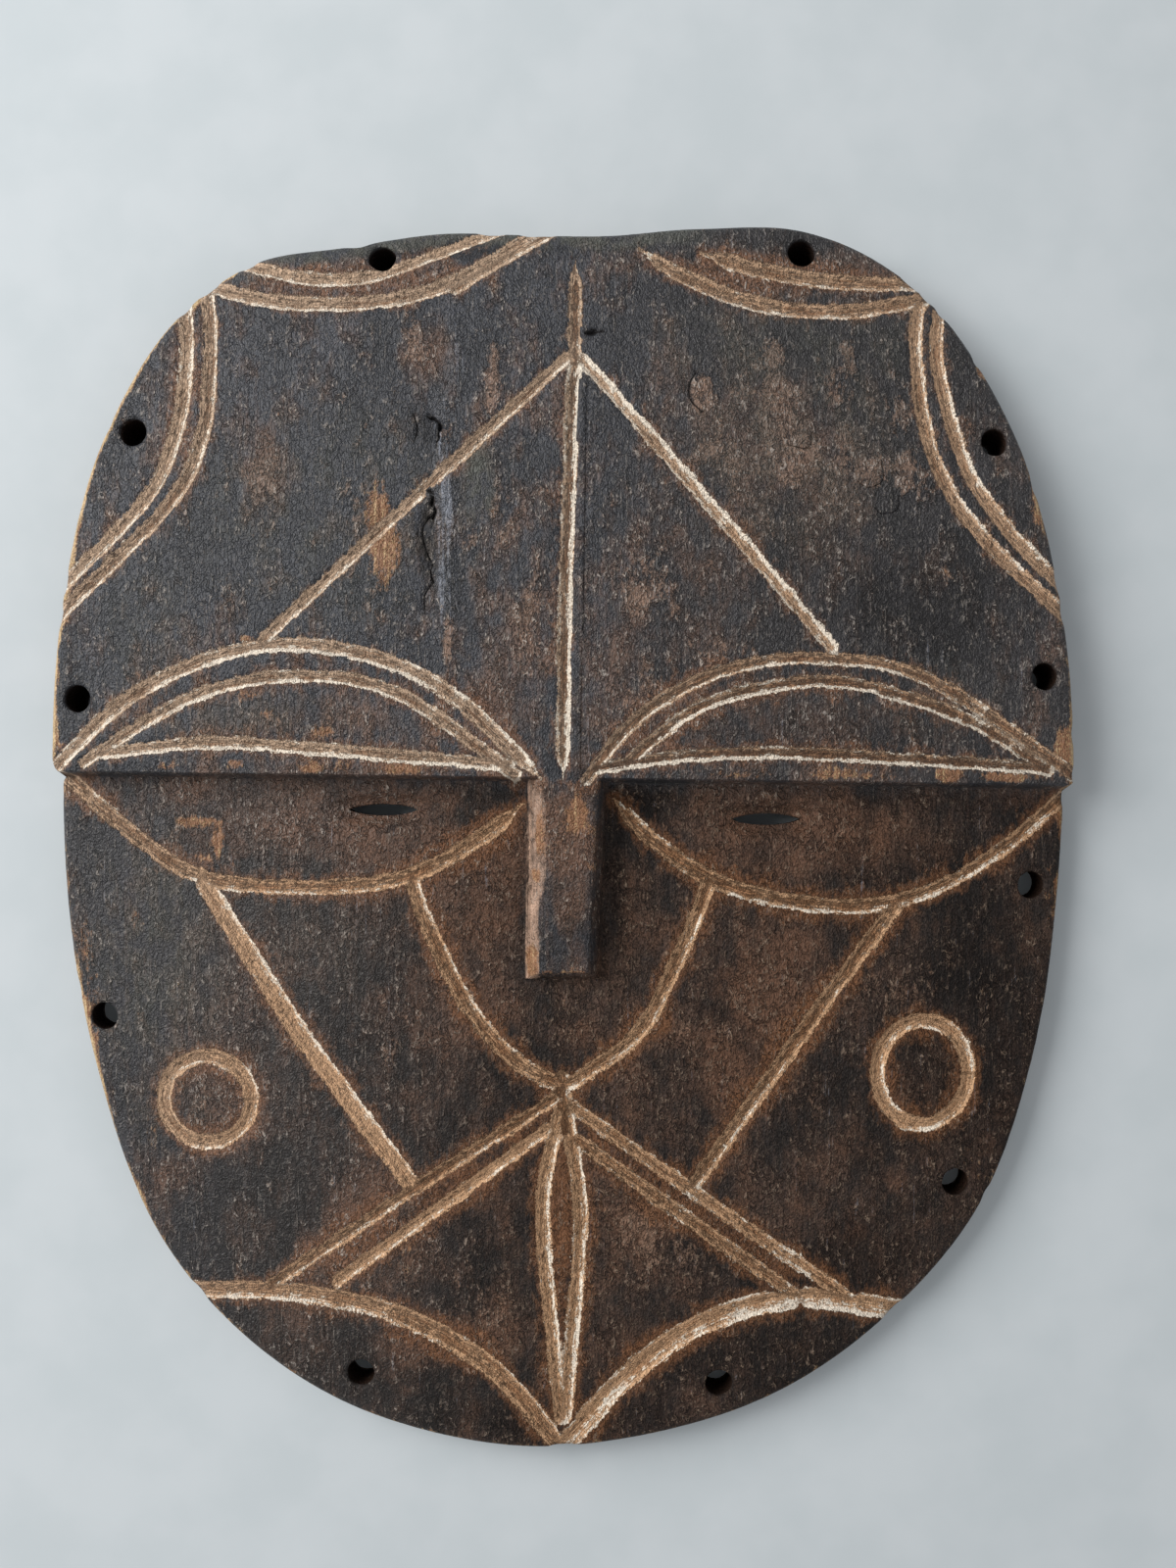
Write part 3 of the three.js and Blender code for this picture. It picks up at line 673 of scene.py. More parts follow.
def build_blank():
    """The board's points, the part each belongs to, and its triangles."""
    edge = edge_points(EDGE_POINTS)
    front_loops = [edge, *openings(FRONT_CHAMFER)]
    front, front_faces = triangulate(front_loops, front_points(edge))
    front_z = face_heights(front)

    back_loops = [drawn_in(edge, BACK_ARRIS), *openings(BACK_CHAMFER)]
    ledge = np.vstack([drawn_in(edge[::3], RIM_WIDTH + further) for further in LEDGE_ROWS])
    inner = thinned([(ledge, 1.8), (hex_points(BACK_SPACING, *MESH_REACH), 0.75 * BACK_SPACING)],
                    lambda p: clear_of_openings(p, 1.4) & (inset_of(*p.T) > 3.2))
    back, back_faces = triangulate(back_loops, inner)
    back_z = back_heights(back)

    verts = [np.column_stack([front, front_z]), np.column_stack([back, back_z])]
    part = [np.full(len(front), FACE), np.full(len(back), BACK)]
    faces = [front_faces, back_faces[:, ::-1] + len(front)]
    count = len(front) + len(back)
    start = 0
    for k, (top, low) in enumerate(zip(front_loops, back_loops)):
        n = len(top)
        upper = np.arange(start, start + n)
        z_top, z_low = front_z[upper], back_z[upper]
        previous = upper
        for level in BORE_LEVELS if k else WALL_LEVELS:
            ring = bore_ring(top, low, z_top, z_low, level) if k else wall_ring(top, z_top, level)
            verts.append(np.column_stack(ring))
            part.append(np.full(n, OPENING if k else WALL))
            following = np.arange(count, count + n)
            faces.append(band(previous, following))
            previous = following
            count += n
        faces.append(band(previous, upper + len(front)))
        start += n
    return np.vstack(verts), np.concatenate(part), np.vstack(faces)


def band(upper, lower):
    """Triangles between two equal closed rings."""
    a, b = upper, np.roll(upper, -1)
    c, d = lower, np.roll(lower, -1)
    return np.vstack([np.column_stack([a, c, d]), np.column_stack([a, d, b])])


def add_object(name, data):
    """A new object in the scene."""
    item = bpy.data.objects.new(name, data)
    bpy.context.collection.objects.link(item)
    return item


def mesh_from(name, verts, faces=(), edges=(), **fields):
    """A mesh in the frame's metres, with one float attribute for each named field."""
    mesh = bpy.data.meshes.new(name)
    placed = np.array(verts, float)
    placed[:, :2] -= PLAN_MIDDLE
    edges, faces = ([tuple(map(int, row)) for row in rows] for rows in (edges, faces))
    mesh.from_pydata((placed * MM).tolist(), edges, faces)
    for field, values in fields.items():
        mesh.attributes.new(field, "FLOAT", "POINT").data.foreach_set("value", np.asarray(values, np.float32))
    mesh.update()
    return add_object(name, mesh)


def face_outward(mesh):
    work = bmesh.new()
    work.from_mesh(mesh)
    bmesh.ops.recalc_face_normals(work, faces=work.faces)
    open_edges = sum(not e.is_manifold for e in work.edges)
    work.to_mesh(mesh)
    work.free()
    if open_edges:
        raise RuntimeError(f"the board has {open_edges} open edges")


def nose_wear(x, y):
    """The rubbed left flank of the nose bar, also painted lighter as the side lit by the window, and the bare
    wood on it and along the other edges.
    """
    root, tip = NOSE["root"], NOSE["tip"]
    t = np.clip((y - tip["y"]) / (root["y"] - tip["y"]), -0.1, 1)
    left, foot, right = (tip[k] + (root[k] - tip[k]) * t for k in ("left", "foot_left", "right"))
    beside = (y < brow_y(x) - 1) & (y > NOSE["foot_y"])
    rounded = 2.4 * smooth((y + 22) / 12)
    half = 0.62 * (left - foot) + 0.5 * rounded
    flank = smooth(1.35 * (1 - np.abs(x - (left + foot + rounded) / 2) / half))
    upper = smooth(1.3 - np.abs(y - 2) / 9) * smooth((x - foot - 2.6) / 1.2)
    knock = smooth(1.4 - np.hypot((x + 7.4) / 1.9, (y + 10.6) / 2.6))
    strong = np.maximum(np.maximum(upper, knock), smooth(1.3 - np.abs(y + 36) / 6))
    far = 0.45 * smooth(1 - np.abs(x - right) / 1.2)
    end = 0.7 * smooth(1 - np.abs(y - tip["y"]) / 1.4) * (x > left) * (x < right)
    knocks = beside * np.maximum(np.maximum(flank * strong, far), end)
    return beside * flank * (1 - 0.18 * smooth((y + 15) / 9)), knocks


def edge_wear(x, y, inset):
    """Bare wood along the outline, most of it on the upper left and by the brow's right end."""
    left = np.interp(y, [-90, -80, -40, -34, 14, 22], [0.7, 1.1, 1.1, 0.5, 0.5, 1.35])
    right = np.interp(y, [0, 12, 32, 60, 88, 96, 106, 114], [0.3, 0.9, 0.9, 0.35, 0.35, 0.9, 0.9, 0.3])
    along = np.select([x < -95, (y > 150) & (np.abs(x) < 95), x > 95], [left, 0.15, right], 0.5)
    reach = 2.0 + np.where((x < 0) & (y > 20), 2.6 * noise(x, y, 5, 74, size_y=11), 0)
    return along * smooth(1 - (inset - 0.6) / np.maximum(reach, 0.8))


def warmth(x, y):
    """How brown the stain has worn: in patches and all over the lower half; in a strip just under the brow
    the warm brown is painted light in the brow's shadow.
    """
    under = brow_y(x) - y
    lower = 0.42 * smooth(under / 30) * smooth((x + 112) / 30)
    # a lighter warm strip just under the brow: painted light in the brow's shadow
    lightened_under_brow = 0.62 * smooth(under / 2) * smooth((18 - under) / 12) * (0.8 + 0.3 * noise(x, y, 18, 72))
    return np.maximum(np.maximum(patches(x, y, WARM), lower), lightened_under_brow)


def make_blank():
    verts, part, faces = build_blank()
    x, y, z = verts.T
    inset = inset_of(x, y)
    face, wall = part == FACE, part == WALL
    flank, knocks = nose_wear(x, y)
    # the crown's rounded top edge, greyed by dust and by a painted sheen
    crown = smooth((y - 158) / 8) * smooth((50 - x) / 20) * smooth((x + 105) / 15) * smooth((6.5 - inset) / 3)
    nose = smooth((z - dome(CHEEKS, x, y) - 1.5) / 3) * (y < brow_y(x))
    lower = smooth((brow_y(x) - y) / 6) * (1 - 0.75 * nose) * (0.45 + 0.55 * smooth((x + 130) / 50))
    blank = mesh_from(
        "carved_mask", verts, faces,
        face=face, back=(part == BACK), opening=(part == OPENING), wall=wall,
        dust=np.maximum(crown, patches(x, y, DUST_AND_SHEEN_SPOTS)) * face,
        edge=np.where(face, edge_wear(x, y, inset), np.where(wall, 0.5 * np.clip(z / 14, 0, 1), 0)),
        lower=np.maximum(lower, 0.6 * smooth((x + 10) / 70) * (1 - nose)),
        # the lower right, away from the window: matt there, and its flecks darkened as painted shade
        shaded=lower * smooth((x + 90) / 90),
        knot=np.sqrt(knot_swell(x, y)) * face, rubbed=patches(x, y, RUBBED) * face, warm=warmth(x, y) * face,
        bare=np.maximum(patches(x, y, BARE), knocks) * face, flank=flank * face,
        dark=patches(x, y, DARK) * face,
    )
    face_outward(blank.data)
    return blank


# The guides, one path for every line and fissure

GUIDE_FIELDS = ("half_width", "depth", "chalk", "pale", "line", "travel", "dx", "dy")
GUIDE_STEP, POINTED, JOINED = 0.45, 9, 5.5
JAGGED, FAINT = 0.7, 0.6

# how far apart the guides start in the grain that runs along them, and how far off, in metres,
# a fissure keeps the tan of a line
GUIDES_APART, CRACKS_APART = 70.0, 0.02


def taper(path, kind, others):
    """0 where a line runs out in a point, 1 along it, where it meets another or leaves the board."""
    share = np.ones(len(path))
    if kind == "ring":
        return share
    travel = np.arange(len(path)) * GUIDE_STEP
    reach = min(POINTED, 0.35 * travel[-1])
    for end, away in ((path[0], travel), (path[-1], travel[::-1])):
        if inset_of(*end) > 5 and np.hypot(*(others - end).T).min() > JOINED:
            share = np.minimum(share, smooth(away / reach))
    return share


def make_guides():
    """The paths as edges, with what is cut along them at each point; a faint fissure counts as pale."""
    verts, edges, fields = [], [], {name: [] for name in GUIDE_FIELDS}
    rows = [(*row, 1.0) for row in LINES.values()]
    rows += [(*row, 0.0, float(row[2] <= FAINT), 0.0) for row in CRACKS.values()]
    paths = [line_path(kind, points, GUIDE_STEP) for kind, points, *_ in rows]
    for index, (kind, _points, width, deep, chalk, pale, line) in enumerate(rows):
        path = paths[index]
        start, count = len(verts), len(path)
        edges += [(start + i, start + i + 1) for i in range(count - 1)]
        runout = taper(path, kind, np.vstack(paths[:index] + paths[index + 1:]))
        along = directions(path)
        if not line:
            jitter = min(0.45 * width, JAGGED * smooth((width - FAINT) / 0.8))
            path = path + jitter * np.column_stack([noise(*path.T, 1.6, 61), 0.4 * noise(*path.T, 1.6, 62)])
            runout = runout * (0.8 + 0.6 * noise(*path.T, 2.2, 63))
        verts += [(x, y, 0) for x, y in path]
        full = 0.3 + 0.7 * runout
        travel = np.arange(count) * GUIDE_STEP + GUIDES_APART * index
        values = (width / 2 * MM * full, deep * MM * full, chalk, pale, line, travel, *along.T)
        for name, value in zip(GUIDE_FIELDS, values):
            fields[name].extend(value * np.ones(count))
    return mesh_from("guides", verts, edges=edges, **fields)


# Nodes

class Nodes:
    """A node tree made by calls. Each adds a node, fed with numbers or sockets, and gives its output."""

    def __init__(self, tree):
        self.tree = tree

    def fill(self, socket, value):
        if isinstance(value, bpy.types.NodeSocket):
            self.tree.links.new(value, socket)
        elif value is not None:
            socket.default_value = value

    def add(self, kind, *inputs, named=None, **settings):
        made = self.tree.nodes.new(kind)
        for key, value in settings.items():
            setattr(made, key, value)
        for key, value in [*enumerate(inputs), *(named or {}).items()]:
            self.fill(made.inputs[key], value)
        return made.outputs

    def put(self, *inputs, out=0, **settings):
        return self.add(*inputs, **settings)[out]

    def math(self, operation, *inputs):
        return self.put("ShaderNodeMath", *inputs, operation=operation)

    def times(self, *values):
        return reduce(lambda a, b: self.math("MULTIPLY", a, b), values)

    def most(self, *values):
        return reduce(lambda a, b: self.math("MAXIMUM", a, b), values)

    def total(self, *terms):
        """The sum of sockets, of (socket, factor) pairs and of plain numbers."""
        result = None
        for term in terms:
            if isinstance(term, tuple):
                result = self.math("MULTIPLY_ADD", *term, 0.0 if result is None else result)
            else:
                result = term if result is None else self.math("ADD", result, term)
        return result

    def vector(self, x, y, z=0.0):
        return self.put("ShaderNodeCombineXYZ", x, y, z)

    def ramp(self, value, low, high, to_low=0.0, to_high=1.0):
        """A smooth step from to_low to to_high as value goes from low to high."""
        return self.put("ShaderNodeMapRange", value, low, high, to_low, to_high,
                        interpolation_type="SMOOTHSTEP")

    def ridges(self, value, level, width):
        """Thin wandering lines where a noise crosses a level."""
        away = self.math("ABSOLUTE", self.math("SUBTRACT", value, level))
        return self.ramp(away, 0.0, width, 1.0, 0.0)

    def fields(self, names):
        """The mesh's own float attributes."""
        return [self.put("ShaderNodeAttribute", attribute_name=name, out="Fac") for name in names.split()]

    def mixed(self, share, under, over, blend="MIX"):
        made = self.add("ShaderNodeMix", share, data_type="RGBA", blend_type=blend,
                        named={MIX_UNDER: under, MIX_OVER: over})
        return made[MIX_RESULT]

    def toned(self, colour, value, dark, light, low=0.3, high=0.7):
        """A colour times a grey that goes from dark to light as value goes from low to high."""
        grey = self.put("ShaderNodeMapRange", value, low, high, dark, light)
        return self.mixed(1.0, colour, self.put("ShaderNodeCombineColor", grey, grey, grey), "MULTIPLY")

    def stretched(self, across, along, offset=0.0):
        """Object coordinates divided by feature sizes in millimetres, so noise on them has that grain."""
        place = self.put("ShaderNodeTexCoord", out="Object")
        shift = tuple(k * offset for k in SHIFTS)
        sizes = (PER_METRE / across, PER_METRE / along, PER_METRE / across)
        return self.put("ShaderNodeMapping", place, shift, None, sizes)

    def noise(self, place, detail, roughness, distortion=0.0):
        return self.put("ShaderNodeTexNoise", place, 0.0, 1.0, detail, roughness, 2.0, 0.0, 1.0, distortion,
                        noise_dimensions="3D")

    def grained(self, across, along, detail=3.0, roughness=0.6, offset=0.0, distortion=0.0):
        return self.noise(self.stretched(across, along, offset), detail, roughness, distortion)

    def chips(self, across, along, offset, share, reach):
        """Small separate marks, one in some of the cells of an uneven grid."""
        cells = self.add("ShaderNodeTexVoronoi", voronoi_dimensions="2D",
                         named={"Scale": 1.0, "Vector": self.stretched(across, along, offset)})
        chosen = self.math("LESS_THAN", self.put("ShaderNodeSeparateColor", cells["Color"]), share)
        return self.times(chosen, self.ramp(cells["Distance"], 0.5 * reach, reach, 1.0, 0.0))


# the Mix node's colour sockets, and how far apart an offset moves a pattern along each axis
MIX_UNDER, MIX_OVER, MIX_RESULT = 6, 7, 2
SHIFTS = (3.7, 5.3, 2.9)

# the direction in which the window's light crosses the face
AWAY_FROM_WINDOW = (0.82, -0.57)


def incise_tree():
    """Cuts a channel along every guide into whatever part of a mesh is marked as its face."""
    tree = bpy.data.node_groups.new("incise lines", "GeometryNodeTree")
    wanted = (
        ("Geometry", "Geometry", None), ("Guides", "Object", None), ("Crumble", "Float", 0.3),
        ("Flat Floor", "Float", 0.2), ("Seed", "Float", float(SEED)), ("Material", "Material", None))
    for name, kind, value in wanted:
        socket = tree.interface.new_socket(name, in_out="INPUT", socket_type="NodeSocket" + kind)
        if value is not None:
            socket.default_value = value
    tree.interface.new_socket("Geometry", in_out="OUTPUT", socket_type="NodeSocketGeometry")
    n = Nodes(tree)
    given = n.add("NodeGroupInput")
    guides = n.put("GeometryNodeObjectInfo", named={"Object": given["Guides"]}, out="Geometry")
    position = n.put("GeometryNodeInputPosition")
    x, y, _z = n.add("ShaderNodeSeparateXYZ", position)
    flat = n.vector(x, y)
    away = n.put("GeometryNodeProximity", named={"Target": guides, "Source Position": flat},
                 target_element="EDGES", out="Distance")
    nearest = n.put("GeometryNodeSampleNearest", guides, flat, domain="POINT")

    def at_guide(value, kind="FLOAT"):
        return n.put("GeometryNodeSampleIndex", named={"Geometry": guides, "Value": value, "Index": nearest},
                     data_type=kind, domain="POINT")

    def stored_float(name):
        return n.put("GeometryNodeInputNamedAttribute", name, data_type="FLOAT")

    def ripple(size, strength):
        texture = n.put("ShaderNodeTexNoise", position, given["Seed"], 1 / size, 2.0, noise_dimensions="4D")
        return n.times(n.math("MULTIPLY_ADD", texture, 2.0, -1.0), strength)

    half, depth, chalk, pale, line, travel, dx, dy = (at_guide(stored_float(name)) for name in GUIDE_FIELDS)
    offset = n.put("ShaderNodeVectorMath", flat, at_guide(position, "FLOAT_VECTOR"), operation="SUBTRACT")
    ox, oy, _z = n.add("ShaderNodeSeparateXYZ", offset)

    def across(ax, ay):
        """The offset from the guide measured along a direction, in millimetres."""
        return n.times(n.math("ADD", n.times(ox, ax), n.times(oy, ay)), PER_METRE)

    uneven = n.math("MULTIPLY_ADD", ripple(0.0016, 1.3), given["Crumble"], 1.0)
    share = n.math("DIVIDE", away, n.times(half, n.math("ADD", uneven, ripple(0.007, 0.12))))
    profile = n.times(n.ramp(share, given["Flat Floor"], 1.06, 1.0, 0.0), stored_float("face"))
    bottom = n.math("ADD", 1.0, n.math("ADD", ripple(0.0013, 0.22), ripple(0.006, 0.12)))
    drop = n.times(depth, bottom, profile)
    crack = n.math("SUBTRACT", 1.0, line)
    gap = n.math("MULTIPLY_ADD", crack, CRACKS_APART, n.math("SUBTRACT", away, half))
    leeward = across(*AWAY_FROM_WINDOW)
    stored = {
        "crack": n.times(profile, crack),
        "gap": n.times(gap, PER_METRE),
        "chalk": chalk,
        "pale": pale,
        "travel": n.math("ADD", travel, across(dx, dy)),
        "side": across(n.times(dy, -1.0), dx),
        "facing": n.math("DIVIDE", leeward, n.times(half, PER_METRE)),
        "cross": n.times(n.math("SIGN", leeward), n.math("DIVIDE", away, half)),
    }
    geometry = given["Geometry"]
    for name, value in stored.items():
        geometry = n.put("GeometryNodeStoreNamedAttribute", data_type="FLOAT", domain="POINT",
                         named={"Geometry": geometry, "Name": name, "Value": value})
    down = n.vector(0.0, 0.0, n.times(drop, -1.0))
    geometry = n.put("GeometryNodeSetPosition", named={"Geometry": geometry, "Offset": down})
    geometry = n.put("GeometryNodeRealizeInstances", geometry)
    geometry = n.put("GeometryNodeSetMaterial", named={"Geometry": geometry, "Material": given["Material"]})
    n.add("NodeGroupOutput", geometry)
    return tree


def applied(item, tree, **values):
    """Runs a node tree on an item and keeps its result as a plain mesh."""
    modifier = item.modifiers.new(tree.name, "NODES")
    modifier.node_group = tree
    sockets = {s.name: s.identifier for s in tree.interface.items_tree if s.in_out == "INPUT"}
    for name, value in values.items():
        modifier[sockets[name]] = value
    depsgraph = bpy.context.evaluated_depsgraph_get()
    mesh = bpy.data.meshes.new_from_object(
        item.evaluated_get(depsgraph), preserve_all_data_layers=True, depsgraph=depsgraph)
    item.modifiers.remove(modifier)
    old = item.data
    item.data = mesh
    bpy.data.meshes.remove(old)
    mesh.name = item.name
    return item


# Finishes

def linear(*levels):
    """A colour given as it looks, 0 to 255, as the shader wants it."""
    shares = [level / 255 for level in levels]
    return (*(v / 12.92 if v <= 0.04045 else ((v + 0.055) / 1.055) ** 2.4 for v in shares), 1.0)


BLUE_BLACK = linear(49, 51, 57)
UPPER_BROWN = linear(85, 66, 56)
BLACK = linear(43, 38, 36)
BROWN_BLACK = linear(68, 53, 45)
RUBBED_BROWN = linear(138, 110, 92)
FLANK_WORN_AND_LIT_BROWN = linear(190, 157, 135)
RED_BROWN = linear(106, 77, 60)
HALO_BROWN = linear(122, 83, 56)
GROOVE_TAN = linear(210, 180, 152)
GROOVE_BROWN = linear(146, 112, 86)
LOWER_TAN = linear(216, 174, 136)
LOWER_GROOVE = linear(172, 128, 94)
GROOVE_DARK_AND_SHADE = linear(58, 41, 31)
CHALK_AND_HIGHLIGHT_CREAM = linear(252, 240, 222)
BARE_OCHRE = linear(146, 103, 72)
BARE_PALE = linear(208, 178, 132)
KNOT_SHEEN_GREY = linear(140, 146, 158)
FLECK = linear(204, 194, 184)
LOWER_FLECK = linear(160, 140, 122)
DUST_AND_SHEEN_GREY = linear(84, 86, 80)
SOOT_AND_SHADE_BLACK = linear(22, 20, 20)
BACK_BROWN = linear(128, 96, 66)
BACK_DARK = linear(82, 60, 43)
FLOOR_GREY = linear(200, 208, 212)
FLOOR_PALE = linear(206, 213, 217)

BUMP_STRENGTH, BUMP_HEIGHT = 0.9, 0.5 * MM


def finish(name):
    """A new material, with its nodes and its shader's inputs."""
    material = bpy.data.materials.new(name)
    material.use_nodes = True
    return material, Nodes(material.node_tree), material.node_tree.nodes["Principled BSDF"].inputs


def carved_wood():
    material, n, shader = finish("stained and chalked wood")
    face, back, wall, opening, edge, lower, shaded = n.fields("face back wall opening edge lower shaded")
    dust, knot, warm, rubbed, bare, flank, dark = n.fields("dust knot warm rubbed bare flank dark")
    crack, gap, chalk, pale = n.fields("crack gap chalk pale")
    side, travel, facing, cross = n.fields("side travel facing cross")

    clouds = n.grained(22, 34, 2.0)
    blotches = n.grained(6, 11, 4.0, 0.62, offset=3.1)
    stains = n.grained(9, 14, 2.0, offset=21.4)
    streaks = n.grained(1.0, 30, 2.0, offset=1.7)
    fibres = n.grained(0.4, 8, 2.0, offset=2.9)
    scuffs = n.grained(1.5, 2.8, 3.0, 0.65, offset=5.7)
    crumbs = n.grained(0.6, 0.7, 1.0, 0.7, offset=8.3)
    bark = n.grained(1.9, 2.6, 1.5, offset=11.9, distortion=0.9)
    grit = n.grained(0.45, 0.7, 1.0, offset=14.2)
    ticks = n.chips(1.3, 3.4, 17.3, 0.3, 0.19)
    scratches = n.chips(1.7, 22, 23.6, 0.3, 0.15)

    # the dark stain: blue-black above the brow, brown-black below it, streaked and clouded along the grain
    browned = n.total((warm, 0.75), (blotches, 2.0), (clouds, 1.5), (streaks, 0.5), -1.92)
    ground = n.mixed(lower, BLUE_BLACK, BLACK)
    handled = n.mixed(lower, UPPER_BROWN, BROWN_BLACK)
    colour = n.mixed(n.ramp(browned, 0.0, 0.75), ground, handled)
    colour = n.toned(colour, streaks, 0.8, 1.22)
    colour = n.toned(colour, clouds, 0.62, 1.4)
    colour = n.toned(colour, fibres, 0.88, 1.12)
    colour = n.toned(colour, grit, 0.52, 1.52)

    # worn to a warm brown and rubbed to a pale one, in patches with broken edges; the warm brown just under
    # the brow is painted light in the brow's shadow
    warm_wear_and_light = n.total((warm, 0.85), (stains, 1.3), (clouds, 0.8), (scuffs, 0.3), (grit, 0.15), -1.62)
    colour = n.mixed(n.ramp(warm_wear_and_light, 0.0, 0.6, 0.0, 0.8), colour, n.toned(RED_BROWN, grit, 0.6, 1.35))
    thin = n.total((rubbed, 0.4), (blotches, 1.3), (scuffs, 0.9), (grit, 0.2), -1.4)
    flaked = n.ramp(thin, 0.0, 0.13)
    rubbed_through = n.times(flaked, n.ramp(thin, 0.0, 0.4, 0.3, 0.85))
    colour = n.mixed(rubbed_through, colour, n.toned(RUBBED_BROWN, grit, 0.6, 1.4))
    # the nose's left flank: rubbed wood, and painted light as the side that faces the window
    flank_mottle = n.total((streaks, 0.4), (stains, 0.3), (scuffs, 0.3))
    flank_worn_and_lit = n.toned(FLANK_WORN_AND_LIT_BROWN, flank_mottle, 0.35, 1.4, 0.38, 0.62)
    flank_share = n.total(flank, (scuffs, 0.9), (streaks, 0.5), -0.7)
    colour = n.mixed(n.ramp(flank_share, 0.2, 0.8, 0.0, 0.85), colour, flank_worn_and_lit)

    # soot black in the dark patches; in the corner and strip right of the nose it is painted shade
    darkened_and_shaded = n.total(dark, (blotches, 0.9), -0.45)
    colour = n.mixed(n.ramp(darkened_and_shaded, 0.0, 0.9, 0.0, 0.75), colour, SOOT_AND_SHADE_BLACK)

    # warm brown beside the cut lines, where chalk and hands have worn through the stain
    reach = n.total(gap, (blotches, -12.0), (scuffs, -8.0), (warm, -5.0), 11.7)
    halo = n.times(n.ramp(reach, -1.2, 2.8, 0.75, 0.0), face)
    colour = n.mixed(halo, colour, n.toned(HALO_BROWN, grit, 0.55, 1.35))

    # the swollen grain below the knot is polished, and a grey sheen is painted on it
    knot_sheen = n.total((knot, 0.8), (scuffs, 1.6), (streaks, 3.0), (blotches, 1.2), -3.2)
    colour = n.mixed(n.ramp(knot_sheen, 0.25, 0.95, 0.0, 0.66), colour, KNOT_SHEEN_GREY)

    # the stain is chipped: small pale curls and ticks, in clusters, with dark pits beside them; the dark line
    # beside each curl is also painted shadow, as if the curl stood raised in the light
    gathered = n.total((blotches, 0.7), (clouds, 0.3), (rubbed, 0.12), (warm, 0.05))
    clusters = n.ramp(gathered, 0.44, 0.6, 0.2, 1.0)
    curls = n.times(n.ridges(bark, 0.52, 0.065), n.ramp(scuffs, 0.51, 0.6), clusters)
    pits_and_shadows = n.times(n.ridges(bark, 0.4, 0.06), clusters)
    wrinkles = n.times(n.ridges(bark, 0.46, 0.14), n.total((clusters, 0.6), 0.4))
    ticked = n.times(ticks, n.ramp(n.total(clusters, scuffs, (lower, -0.35)), 0.7, 1.1))
    ticked = n.most(ticked, n.times(scratches, n.ramp(grit, 0.4, 0.6, 0.1, 0.6)))
    colour = n.mixed(n.times(pits_and_shadows, 0.6), colour, SOOT_AND_SHADE_BLACK)
    scraped = n.most(curls, n.times(ticked, n.total(0.7, (dark, -0.5))))
    # the flecks are browner in the lower half and darker towards the lower right, partly as painted shade
    # away from the window
    colour = n.mixed(n.times(scraped, 0.66), colour, n.mixed(shaded, FLECK, LOWER_FLECK))

    # grey dust on the worn crown and the left side; the grey also paints the window's sheen on the crown's
    # rounded edge, the left cheek and patches of the forehead
    colour = n.mixed(n.times(dust, n.ramp(blotches, 0.4, 0.6, 0.05, 0.8)), colour, DUST_AND_SHEEN_GREY)

    # bare ochre wood on handled edges and in knocks
    worn = n.total((edge, 0.66), (bare, 0.7), (scuffs, 1.1), (blotches, 0.9), (streaks, 0.5), (grit, 0.4),
                   -1.76)
    bleached = n.total((streaks, 0.5), (crumbs, 0.5), (edge, 0.16))
    ochre = n.mixed(n.ramp(bleached, 0.5, 0.72), BARE_OCHRE, BARE_PALE)
    colour = n.mixed(n.ramp(worn, 0.0, 0.34, 0.0, 0.9), colour, ochre)

    # the lines: tan channels scored along their length, crumbled dark in places, chalk on their far walls;
    # the far wall faces the window and its chalk is also a painted highlight, while the near wall and the
    # channel's middle get painted shade
    scored = n.noise(n.vector(n.math("DIVIDE", side, 0.4), n.math("DIVIDE", travel, 11.0)), 2.0, 0.6)
    ragged = n.noise(n.vector(n.math("DIVIDE", side, 0.75), n.math("DIVIDE", travel, 2.2), 4.0), 3.0, 0.65)
    fringe = n.total(gap, (crumbs, -1.2), (scuffs, -1.6), (ragged, -1.6), (blotches, -2.0), (warm, -0.3),
                     (n.ramp(facing, 0.0, 0.8), 0.35), 3.6)
    inside = n.times(n.ramp(fringe, -0.12, 0.14, 1.0, 0.0), face)
    rim = n.times(n.ramp(fringe, -1.6, -0.6), n.ramp(fringe, -0.2, 0.05, 1.0, 0.0))
    # a band just to the window's side of the channel's middle, darkened as painted shade in the bottom of the
    # cut
    middle = n.ramp(n.math("ABSOLUTE", n.total(facing, 0.22)), 0.1, 0.75, 1.0, 0.0)
    # how tan the channel is; the window's side is painted lighter and the middle darker, as painted light and
    # shade
    tan_and_lit = n.total((facing, -0.2), (scored, 1.7), (stains, 1.0), (pale, 0.5), (ragged, 1.5), (rim, 0.55),
                  (middle, -0.16), -2.15)
    channel = n.mixed(n.ramp(tan_and_lit, -0.16, 0.18), n.mixed(lower, GROOVE_BROWN, LOWER_GROOVE),
                      n.mixed(lower, GROOVE_TAN, LOWER_TAN))

    specks = n.ramp(n.total((ragged, 1.3), (scored, 0.6), (middle, 0.1), (pale, -0.22)), 0.92, 1.0)
    channel_darks = n.times(n.ridges(scored, 0.47, 0.055), n.total(0.9, (pale, -0.5), (rim, -0.4)))
    # the wall nearer the window, which lies in shade, darkened as painted shade
    painted_shade_near_wall = n.times(n.ramp(cross, -1.05, -0.6, 0.55, 0.0), n.ramp(pale, 0.3, 0.8))
    swayed = n.total(cross, (scored, 0.5), (stains, 0.7), -0.6)
    scores = n.most(n.ridges(swayed, -0.28, 0.17), n.ridges(swayed, 0.3, 0.11))
    scores = n.times(scores, n.ramp(ragged, 0.4, 0.55, 0.12, 0.62))
    channel_darks = n.most(channel_darks, painted_shade_near_wall, scores)
    channel = n.mixed(n.most(n.times(specks, 0.75), channel_darks), channel, GROOVE_DARK_AND_SHADE)

